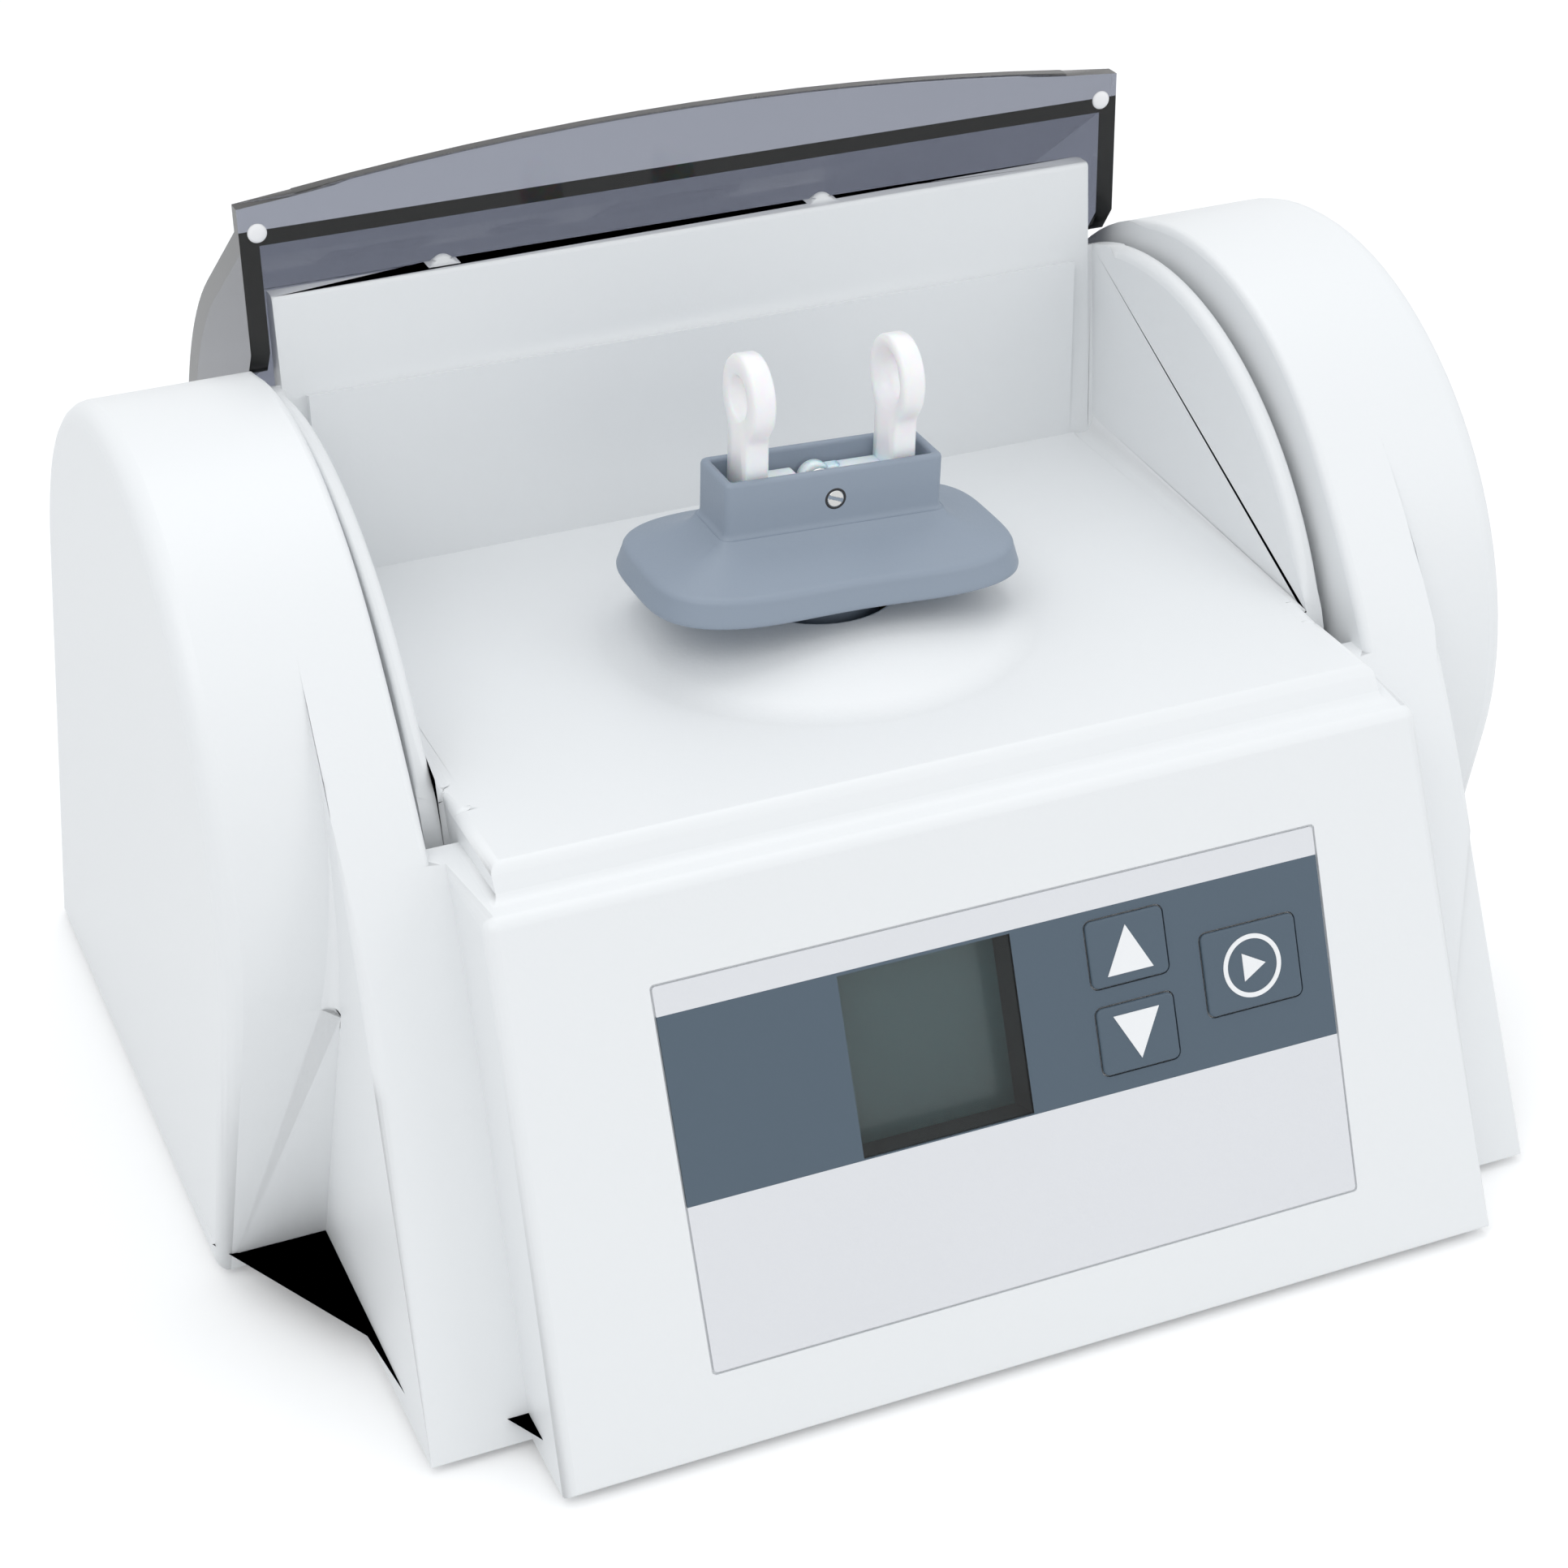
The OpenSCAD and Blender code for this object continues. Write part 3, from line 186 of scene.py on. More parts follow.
def tube(path, radius, sides=10):
    """A round wire along a path: rings of the radius square to the path's tangent."""
    path = np.asarray(path, float)
    way = np.gradient(path, axis=0)
    way /= np.linalg.norm(way, axis=1)[:, None]
    helper = np.where(np.abs(way[:, 2:3]) < 0.9, [[0.0, 0.0, 1.0]], [[0.0, 1.0, 0.0]])
    side = np.cross(way, helper)
    side /= np.linalg.norm(side, axis=1)[:, None]
    up = np.cross(way, side)
    a = np.linspace(0, 2 * np.pi, sides, endpoint=False)
    ring = np.cos(a)[None, :, None] * side[:, None] + np.sin(a)[None, :, None] * up[:, None]
    return grid_solid(path[:, None] + radius * ring)


def circle(r, middle=(PIVOT_Y, PIVOT_Z), sides=96):
    """Outline of a circle in (y, z), about the hinge unless told otherwise."""
    a = np.linspace(0, 2 * np.pi, sides, endpoint=False)
    return np.stack([middle[0] + r * np.cos(a), middle[1] + r * np.sin(a)], -1)


def prism(outline, low, high):
    """A closed prism along X from low to high, from an outline of (y, z) points."""
    n = len(outline)
    points = np.column_stack([np.repeat([low, high], n), np.tile(np.asarray(outline, float), (2, 1))])
    i = np.arange(n)
    j = (i + 1) % n
    sides = np.stack([i, i + n, j + n, j], -1).tolist()
    return points, [list(range(n)), list(range(2 * n - 1, n - 1, -1)), *sides]


def reshaped(obj, steps):
    """Cuts prisms from a mesh or joins them to it, one on each side of the mixer for every step."""
    tools = []
    for operation, outline, low, high in steps:
        points, faces = merged([prism(outline, low, high), prism(outline, -high, -low)])
        tool = mesh_object("tool", placed(points), faces, smooth=False)
        work = bmesh.new()
        work.from_mesh(tool.data)
        bmesh.ops.recalc_face_normals(work, faces=work.faces)
        work.to_mesh(tool.data)
        work.free()
        change = obj.modifiers.new("shape", "BOOLEAN")
        change.operation = operation
        change.solver = "EXACT"
        change.object = tool
        tools.append(tool)
    source = obj.data
    obj.data = bpy.data.meshes.new_from_object(obj.evaluated_get(bpy.context.evaluated_depsgraph_get()))
    obj.modifiers.clear()
    bpy.data.meshes.remove(source)
    for tool in tools:
        bpy.data.meshes.remove(tool.data)


def read(items, what, width=1, kind=float):
    """One property of every item as an array, with a row of values for each item where it is wider."""
    values = np.zeros(len(items) * width, kind)
    items.foreach_get(what, values)
    return values.reshape(-1, width) if width > 1 else values


def edge_facts(mesh):
    """For every edge: its middle, the angle between its two faces in degrees, and whether it is convex.
    An edge is convex where the second face's normal points across the edge and out of the first face."""
    n_edges, n_loops = len(mesh.edges), len(mesh.loops)
    co = read(mesh.vertices, "co", 3)
    ends = read(mesh.edges, "vertices", 2, int)
    loop_edge = read(mesh.loops, "edge_index", kind=int)
    loop_vert = read(mesh.loops, "vertex_index", kind=int)
    normal = read(mesh.polygons, "normal", 3)
    face = np.repeat(np.arange(len(mesh.polygons)), read(mesh.polygons, "loop_total", kind=int))
    order = np.argsort(loop_edge, kind="stable")
    first = np.searchsorted(loop_edge[order], np.arange(n_edges))
    two = np.bincount(loop_edge, minlength=n_edges) == 2
    l1 = order[first]
    l2 = order[np.minimum(first + 1, n_loops - 1)]
    n1, n2 = normal[face[l1]], normal[face[l2]]
    start = loop_vert[l1]
    along = co[ends.sum(1) - start] - co[start]
    out = np.cross(along, n1)
    angle = np.degrees(np.arccos(np.clip((n1 * n2).sum(1), -1, 1)))
    angle[~two] = 0
    return co[ends].mean(1), angle, (out * n2).sum(1) > 0


def left_sharp(mesh, middle):
    """Marks the edges that stay sharp on the housing and the lid: those that touch the floor beside
    the front block, and those in the corners of the back wall and the half moon walls."""
    heights = drawn(read(mesh.vertices, "co", 3))[:, 2]
    lowest = heights[read(mesh.edges, "vertices", 2, int)].min(1)
    x, y, z = np.abs(middle[:, 0]), middle[:, 1], middle[:, 2]
    foot = (lowest < 0.3) & (x > 84) & (x < 113)
    corner = (x > 74) & (x < 85) & (y > 140) & (z > 92)
    return foot | corner


def softened(node, name, widths=None, width=0.3, sharp=50, segments=3, steps=()):
    """A copy of a CAD node's mesh with rounded edges. The copy is merged and reshaped by the steps,
    its flat parts are joined, and each edge gets the rounding that widths(middle, angle, convex)
    gives, in millimetres, or the same width on every edge sharper than 30 degrees."""
    source = NODES[node].data
    source.calc_loop_triangles()
    obj = mesh_object(name, read(source.vertices, "co", 3), read(source.loop_triangles, "vertices", 3, int))
    work = bmesh.new()
    work.from_mesh(obj.data)
    bmesh.ops.remove_doubles(work, verts=work.verts, dist=TOUCHING)
    if steps:
        work.to_mesh(obj.data)
        reshaped(obj, steps)
        work.clear()
        work.from_mesh(obj.data)
        bmesh.ops.remove_doubles(work, verts=work.verts, dist=TOUCHING)
    bmesh.ops.dissolve_limit(work, angle_limit=math.radians(0.7), verts=work.verts, edges=work.edges)
    bmesh.ops.holes_fill(work, edges=[e for e in work.edges if e.is_boundary])
    mesh = obj.data
    work.to_mesh(mesh)
    work.free()
    middle, angle, convex = edge_facts(mesh)
    middle = drawn(middle)
    if widths is None:
        size = np.where(angle > 30, width, 0.0)
    else:
        size = widths(middle, angle, convex)
        size[left_sharp(mesh, middle)] = 0.0
    widest = max(float(size.max()), 0.01)
    weight = mesh.attributes.new("bevel_weight_edge", "FLOAT", "EDGE")
    weight.data.foreach_set("value", (size / widest).astype(np.float32))
    mesh.polygons.foreach_set("use_smooth", np.full(len(mesh.polygons), True))
    mesh.set_sharp_from_angle(angle=math.radians(sharp))
    bevel = obj.modifiers.new("rounded edges", "BEVEL")
    bevel.width = widest * MM
    bevel.segments = segments
    bevel.limit_method = "WEIGHT"
    bevel.use_clamp_overlap = widths is None
    flat = obj.modifiers.new("even shading", "WEIGHTED_NORMAL")
    flat.keep_sharp = True
    return obj


def ready(obj, body, slot, material, *nodes):
    """Gives a piece its finish and body, and hides the CAD nodes that it stands for. The slot is not used.
    """
    obj.data.materials.clear()
    obj.data.materials.append(material)
    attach(obj, body)
    if nodes:
        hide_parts(*nodes)
    return obj


def paint(node, material):
    """Gives a CAD node's own mesh a finish."""
    data = NODES[node].data
    data.materials.clear()
    data.materials.append(material)


# Node groups


def socket(tree, name, way, kind, default=None):
    """Adds one named input or output to a shader group."""
    s = tree.interface.new_socket(name=name, in_out=way, socket_type=kind)
    if default is not None:
        s.default_value = default
    return s


def new_group(name, inputs, outputs):
    """An empty shader group with its sockets; returns the tree, its input node and its output node."""
    tree = bpy.data.node_groups.new(name, "ShaderNodeTree")
    for label, kind, default in inputs:
        socket(tree, label, "INPUT", kind, default)
    for label, kind in outputs:
        socket(tree, label, "OUTPUT", kind)
    return tree, tree.nodes.new("NodeGroupInput"), tree.nodes.new("NodeGroupOutput")


def add(tree, kind, **values):
    """A node with attributes set by name, and sockets set by name or index through the inputs dict."""
    node = tree.nodes.new(kind)
    inputs = values.pop("inputs", {})
    for key, value in values.items():
        setattr(node, key, value)
    for key, value in inputs.items():
        node.inputs[key].default_value = value
    return node


def math_node(tree, operation, a, b=None, clamp=False):
    """The result of one operation on two values, each a number or a socket."""
    node = add(tree, "ShaderNodeMath", operation=operation, use_clamp=clamp)
    for i, value in enumerate((a, b)):
        if value is None:
            continue
        if isinstance(value, (int, float)):
            node.inputs[i].default_value = value
        else:
            tree.links.new(value, node.inputs[i])
    return node.outputs[0]


def mix_colour(tree, factor, a, b, blend="MIX"):
    """Two colours mixed by a factor, each a value or a socket."""
    node = add(tree, "ShaderNodeMix", data_type="RGBA", blend_type=blend)
    for name, value in ((0, factor), (6, a), (7, b)):
        if hasattr(value, "is_output"):
            tree.links.new(value, node.inputs[name])
        else:
            node.inputs[name].default_value = value
    return node.outputs[2]


@functools.cache
def grain_group():
    """Moulded grain: fine noise and small dimples give a height, and slow noise a drift of tone."""
    tree, gin, gout = new_group(
        "Moulded Grain",
        [
            ("Vector", "NodeSocketVector", None),
            ("Scale", "NodeSocketFloat", 2600.0),
            ("Drift Scale", "NodeSocketFloat", 9.0),
            ("Color", "NodeSocketColor", (0.8, 0.8, 0.8, 1)),
            ("Drift", "NodeSocketFloat", 0.03),
            ("Roughness", "NodeSocketFloat", 0.45),
        ],
        [("Color", "NodeSocketColor"), ("Roughness", "NodeSocketFloat"), ("Height", "NodeSocketFloat")],
    )
    links = tree.links
    fine = add(tree, "ShaderNodeTexNoise", inputs={"Detail": 3.0, "Roughness": 0.6})
    dimples = add(tree, "ShaderNodeTexVoronoi", feature="SMOOTH_F1", inputs={"Smoothness": 0.6})
    slow = add(tree, "ShaderNodeTexNoise", inputs={"Detail": 4.0, "Roughness": 0.5})
    for node in (fine, dimples, slow):
        links.new(gin.outputs["Vector"], node.inputs["Vector"])
    links.new(gin.outputs["Scale"], fine.inputs["Scale"])
    links.new(math_node(tree, "MULTIPLY", gin.outputs["Scale"], 0.6), dimples.inputs["Scale"])
    links.new(gin.outputs["Drift Scale"], slow.inputs["Scale"])
    fine_part = math_node(tree, "MULTIPLY", fine.outputs["Fac"], 0.6)
    height = math_node(tree, "ADD", fine_part, dimples.outputs["Distance"])
    links.new(height, gout.inputs["Height"])
    centred = math_node(tree, "SUBTRACT", slow.outputs["Fac"], 0.5)
    swing = math_node(tree, "MULTIPLY", centred, gin.outputs["Drift"])
    tone = math_node(tree, "ADD", swing, 1.0)
    grey = add(tree, "ShaderNodeCombineColor")
    for i in range(3):
        links.new(tone, grey.inputs[i])
    toned = mix_colour(tree, 1.0, gin.outputs["Color"], grey.outputs[0], "MULTIPLY")
    links.new(toned, gout.inputs["Color"])
    speck = math_node(tree, "MULTIPLY", math_node(tree, "SUBTRACT", fine.outputs["Fac"], 0.5), 0.25)
    rough = math_node(tree, "ADD", gin.outputs["Roughness"], math_node(tree, "ADD", speck, swing))
    links.new(rough, gout.inputs["Roughness"])
    return tree


@functools.cache
def streak_group():
    """Turned or drawn metal: noise stretched along one axis gives streaks of height and roughness."""
    tree, gin, gout = new_group(
        "Metal Streaks",
        [
            ("Vector", "NodeSocketVector", None),
            ("Stretch", "NodeSocketVector", (1.0, 1.0, 30.0)),
            ("Scale", "NodeSocketFloat", 120.0),
            ("Roughness", "NodeSocketFloat", 0.3),
        ],
        [("Roughness", "NodeSocketFloat"), ("Height", "NodeSocketFloat")],
    )
    stretch = add(tree, "ShaderNodeVectorMath", operation="MULTIPLY")
    noise = add(tree, "ShaderNodeTexNoise", inputs={"Detail": 4.0})
    tree.links.new(gin.outputs["Vector"], stretch.inputs[0])
    tree.links.new(gin.outputs["Stretch"], stretch.inputs[1])
    tree.links.new(stretch.outputs[0], noise.inputs["Vector"])
    tree.links.new(gin.outputs["Scale"], noise.inputs["Scale"])
    tree.links.new(noise.outputs["Fac"], gout.inputs["Height"])
    part = math_node(tree, "MULTIPLY", noise.outputs["Fac"], 0.3)
    tree.links.new(math_node(tree, "ADD", part, gin.outputs["Roughness"]), gout.inputs["Roughness"])
    return tree


@functools.cache
def winding_group():
    """Wound wire or tape: bands along one axis, round on top, with painted shade that darkens the colour in
    the low grooves between the bands.
    """
    tree, gin, gout = new_group(
        "Windings",
        [
            ("Vector", "NodeSocketVector", None),
            ("Scale", "NodeSocketFloat", 400.0),
            ("Color", "NodeSocketColor", (0.6, 0.3, 0.1, 1)),
        ],
        [("Color", "NodeSocketColor"), ("Height", "NodeSocketFloat")],
    )
    wave = add(tree, "ShaderNodeTexWave", bands_direction="Z", inputs={"Distortion": 1.2, "Detail": 2.0})
    tree.links.new(gin.outputs["Vector"], wave.inputs["Vector"])
    tree.links.new(gin.outputs["Scale"], wave.inputs["Scale"])
    tree.links.new(wave.outputs["Fac"], gout.inputs["Height"])
    # Painted shade: the colour darkens where the bands are low, in the grooves between the turns.
    dark = mix_colour(tree, 1.0, gin.outputs["Color"], (0.55, 0.5, 0.5, 1), "MULTIPLY")
    shade_banded_colour = mix_colour(tree, wave.outputs["Fac"], dark, gin.outputs["Color"])
    tree.links.new(shade_banded_colour, gout.inputs["Color"])
    return tree


# Finishes


class Finish:
    """A material under construction, with its object coordinates and its shader."""

    def __init__(self, name, **sockets):
        self.material = bpy.data.materials.new(name)
        self.material.use_nodes = True
        self.tree = self.material.node_tree
        self.shader = self.tree.nodes["Principled BSDF"]
        self.coords = add(self.tree, "ShaderNodeTexCoord").outputs["Object"]
        for key, value in sockets.items():
            self.shader.inputs[key.replace("_", " ")].default_value = value

    def link(self, a, b):
        self.tree.links.new(a, b)

    def group(self, tree, **inputs):
        node = add(self.tree, "ShaderNodeGroup", node_tree=tree)
        self.link(self.coords, node.inputs["Vector"])
        for key, value in inputs.items():
            if hasattr(value, "is_output"):
                self.link(value, node.inputs[key.replace("_", " ")])
            else:
                node.inputs[key.replace("_", " ")].default_value = value
        return node

    def bump(self, height, strength, distance):
        node = add(self.tree, "ShaderNodeBump", inputs={"Strength": strength, "Distance": distance})
        self.link(height, node.inputs["Height"])
        self.link(node.outputs["Normal"], self.shader.inputs["Normal"])


@functools.cache
def moulded(name, colour, rough=0.45, scale=2600.0, bump=0.12, drift=0.03):
    """Moulded plastic or rubber with a fine grain."""
    f = Finish(name)
    g = f.group(grain_group(), Color=(*colour, 1), Roughness=rough, Scale=scale, Drift=drift)
    f.link(g.outputs["Color"], f.shader.inputs["Base Color"])
    f.link(g.outputs["Roughness"], f.shader.inputs["Roughness"])
    f.bump(g.outputs["Height"], bump, 0.00012)
    return f.material


@functools.cache
def metal(name, colour, rough=0.25, stretch=(1.0, 1.0, 30.0), bump=0.1):
    """Drawn or turned metal."""
    f = Finish(name, Base_Color=(*colour, 1), Metallic=1.0)
    g = f.group(streak_group(), Stretch=stretch, Roughness=rough)
    f.link(g.outputs["Roughness"], f.shader.inputs["Roughness"])
    f.bump(g.outputs["Height"], bump, 0.00005)
    return f.material


@functools.cache
def wound(name, colour, scale, rough=0.35, metallic=0.0):
    """Wound wire or tape."""
    f = Finish(name, Roughness=rough, Metallic=metallic)
    g = f.group(winding_group(), Scale=scale, Color=(*colour, 1))
    f.link(g.outputs["Color"], f.shader.inputs["Base Color"])
    f.bump(g.outputs["Height"], 0.5, 0.0003)
    return f.material


def smoked():
    """Smoked acrylic: clear at the skin, and darker the farther light runs inside it."""
    f = Finish(
        "smoked acrylic",
        Base_Color=(1, 1, 1, 1),
        Roughness=0.03,
        IOR=1.49,
        Transmission_Weight=1.0,
    )
    scratches = add(f.tree, "ShaderNodeTexNoise", inputs={"Scale": 60.0, "Detail": 2.0})
    f.link(f.coords, scratches.inputs["Vector"])
    f.bump(scratches.outputs["Fac"], 0.04, 0.0002)
    depth = add(f.tree, "ShaderNodeVolumeAbsorption")
    depth.inputs["Color"].default_value = (*bpy.context.scene.mixer_lid.tint, 1)
    depth.inputs["Density"].default_value = bpy.context.scene.mixer_lid.density
    f.link(depth.outputs[0], f.tree.nodes["Material Output"].inputs["Volume"])
    return f.material


def milky():
    """Milky nylon that light enters."""
    f = Finish(
        "milky nylon",
        Subsurface_Weight=0.55,
        Subsurface_Scale=0.004,
        Roughness=0.32,
        Coat_Weight=0.15,
    )
    pale = (0.88, 0.895, 0.91, 1)
    g = f.group(grain_group(), Color=pale, Roughness=0.3, Scale=1500.0, Drift=0.04)
    f.link(g.outputs["Color"], f.shader.inputs["Base Color"])
    f.bump(g.outputs["Height"], 0.05, 0.0001)
    return f.material


@functools.cache
def printed_foil():
    """Printed film: pale at the top and bottom, with a slate band across, by height up the slope."""
    p = bpy.context.scene.mixer_panel
    f = Finish("printed foil", Specular_IOR_Level=0.45)
    turn = add(f.tree, "ShaderNodeMapping", vector_type="POINT")
    a = FRONT_TILT - math.pi / 2
    c, s = math.cos(a), math.sin(a)
    turn.inputs["Rotation"].default_value = (a, 0, 0)
    shift = (0, -(FOOT[1] * c - FOOT[2] * s), -(FOOT[1] * s + FOOT[2] * c))
    turn.inputs["Location"].default_value = shift
    f.link(f.coords, turn.inputs["Vector"])
    split = add(f.tree, "ShaderNodeSeparateXYZ")
    f.link(turn.outputs[0], split.inputs[0])
    over = math_node(f.tree, "GREATER_THAN", split.outputs[1], p.band_low)
    under = math_node(f.tree, "LESS_THAN", split.outputs[1], p.band_high)
    band = math_node(f.tree, "MULTIPLY", over, under)
    colour = mix_colour(f.tree, band, (*p.pale, 1), (*p.slate, 1))
    g = f.group(grain_group(), Color=colour, Roughness=0.42, Scale=4200.0, Drift=0.05)
    f.link(g.outputs["Color"], f.shader.inputs["Base Color"])
    f.link(g.outputs["Roughness"], f.shader.inputs["Roughness"])
    f.bump(g.outputs["Height"], 0.16, 0.00008)
    return f.material


def display():
    """The display's grey-green face, a little paler towards its upper edge."""
    f = Finish("display face", Roughness=0.28, Coat_Weight=0.3)
    low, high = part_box("lcd_module")
    split = add(f.tree, "ShaderNodeSeparateXYZ")
    f.link(f.coords, split.inputs[0])
    above = math_node(f.tree, "SUBTRACT", split.outputs[2], low.z)
    up = math_node(f.tree, "DIVIDE", above, high.z - low.z, True)
    colour = mix_colour(f.tree, up, (0.035, 0.068, 0.073, 1), (0.06, 0.11, 0.12, 1))
    f.link(colour, f.shader.inputs["Base Color"])
    dots = add(f.tree, "ShaderNodeTexVoronoi", inputs={"Scale": 2500.0})
    f.link(f.coords, dots.inputs["Vector"])
    f.bump(dots.outputs["Distance"], 0.03, 0.0001)
    return f.material


def clear_window():
    """The display's clear window, with a faint haze."""
    tint = (0.9, 0.94, 0.94, 1)
    f = Finish("display window", Base_Color=tint, Roughness=0.02, IOR=1.3, Transmission_Weight=1.0)
    haze = add(f.tree, "ShaderNodeTexNoise", inputs={"Scale": 40.0})
    f.link(f.coords, haze.inputs["Vector"])
    f.bump(haze.outputs["Fac"], 0.01, 0.0001)
    return f.material


@functools.cache
def circuit():
    """Green board with darker tracks in a brick layout."""
    f = Finish("circuit board", Roughness=0.35, Coat_Weight=0.4)
    tracks = add(
        f.tree,
        "ShaderNodeTexBrick",
        inputs={
            "Color1": (0.02, 0.16, 0.06, 1),
            "Color2": (0.03, 0.2, 0.08, 1),
            "Mortar": (0.1, 0.3, 0.12, 1),
            "Scale": 90.0,
            "Mortar Size": 0.03,
        },
    )
    f.link(f.coords, tracks.inputs["Vector"])
    f.link(tracks.outputs["Color"], f.shader.inputs["Base Color"])
    f.bump(tracks.outputs["Fac"], 0.3, 0.0001)
    return f.material


def rubber():
    return moulded("black rubber", (0.018, 0.018, 0.02), 0.7, 1200.0, 0.3)


def black_plastic():
    return moulded("black plastic", (0.016, 0.016, 0.018), 0.42, 2200.0, 0.25)


def zinc():
    return metal("zinc plate", (0.62, 0.62, 0.6), 0.32)


def bright_steel():
    return metal("bright steel", (0.72, 0.71, 0.69), 0.12)


# Settings


class MixerHousing(bpy.types.PropertyGroup):
    tower_round: bpy.props.FloatProperty(
        name="Tower rounding",
        description="Rounding of the towers' outer edges in millimetres",
        default=3.4, min=0.5, max=5,
    )
    edge_round: bpy.props.FloatProperty(
        name="Edge rounding",
        description="Rounding of the front block's edges in millimetres",
        default=2.0, min=0.3, max=3,
    )
    colour: bpy.props.FloatVectorProperty(
        name="Colour",
        description="Colour of the moulding",
        subtype="COLOR", default=(0.82, 0.835, 0.845), min=0, max=1,
    )
    grain: bpy.props.FloatProperty(
        name="Grain", description="Depth of the moulded grain", default=0.1, min=0, max=1
    )


class MixerLid(bpy.types.PropertyGroup):
    tint: bpy.props.FloatVectorProperty(
        name="Tint",
        description="Colour that the acrylic lets through",
        subtype="COLOR", default=(0.1, 0.14, 0.27), min=0, max=1,
    )
    density: bpy.props.FloatProperty(
        name="Density",
        description="How fast the acrylic darkens with depth, per metre",
        default=400.0, min=10, max=2000,
    )
    corner_round: bpy.props.FloatProperty(
        name="Corner rounding",
        description="Rounding between sheet and cheeks in millimetres",
        default=2.4, min=0.3, max=3,
    )


class MixerHolder(bpy.types.PropertyGroup):
    colour: bpy.props.FloatVectorProperty(
        name="Colour",
        description="Colour of the capsule holder",
        subtype="COLOR", default=(0.265, 0.315, 0.385), min=0, max=1,
    )
    waist: bpy.props.FloatProperty(
        name="Waist",
        description="How far the skirt's long sides draw in, as a share",
        default=0.07, min=0, max=0.2,
    )
    flare: bpy.props.FloatProperty(
        name="Flare",
        description="How far the apron leans out, in millimetres",
        default=0.9, min=0, max=2,
    )


class MixerPanel(bpy.types.PropertyGroup):
    slate: bpy.props.FloatVectorProperty(
        name="Band",
        description="Colour of the printed band",
        subtype="COLOR", default=(0.078, 0.113, 0.15), min=0, max=1,
    )
    pale: bpy.props.FloatVectorProperty(
        name="Pale",
        description="Colour of the printed film outside the band",
        subtype="COLOR", default=(0.74, 0.75, 0.775), min=0, max=1,
    )
    band_low: bpy.props.FloatProperty(
        name="Band low",
        description="Lower edge of the band, up the slope",
        subtype="DISTANCE", unit="LENGTH", default=0.0417,
    )
    band_high: bpy.props.FloatProperty(
        name="Band high",
        description="Upper edge of the band, up the slope",
        subtype="DISTANCE", unit="LENGTH", default=0.073,
    )


class MixerStage(bpy.types.PropertyGroup):
    light: bpy.props.FloatProperty(
        name="Light", description="Strength of the room's even light", default=0.85, min=0, max=3
    )
    floor: bpy.props.FloatVectorProperty(
        name="Floor",
        description="Colour of the floor",
        subtype="COLOR", default=(0.9, 0.9, 0.9), min=0, max=1,
    )
    lens: bpy.props.FloatProperty(
        name="Lens",
        description="Focal length of the camera in millimetres",
        subtype="DISTANCE_CAMERA", default=75.483,
    )


# Pieces


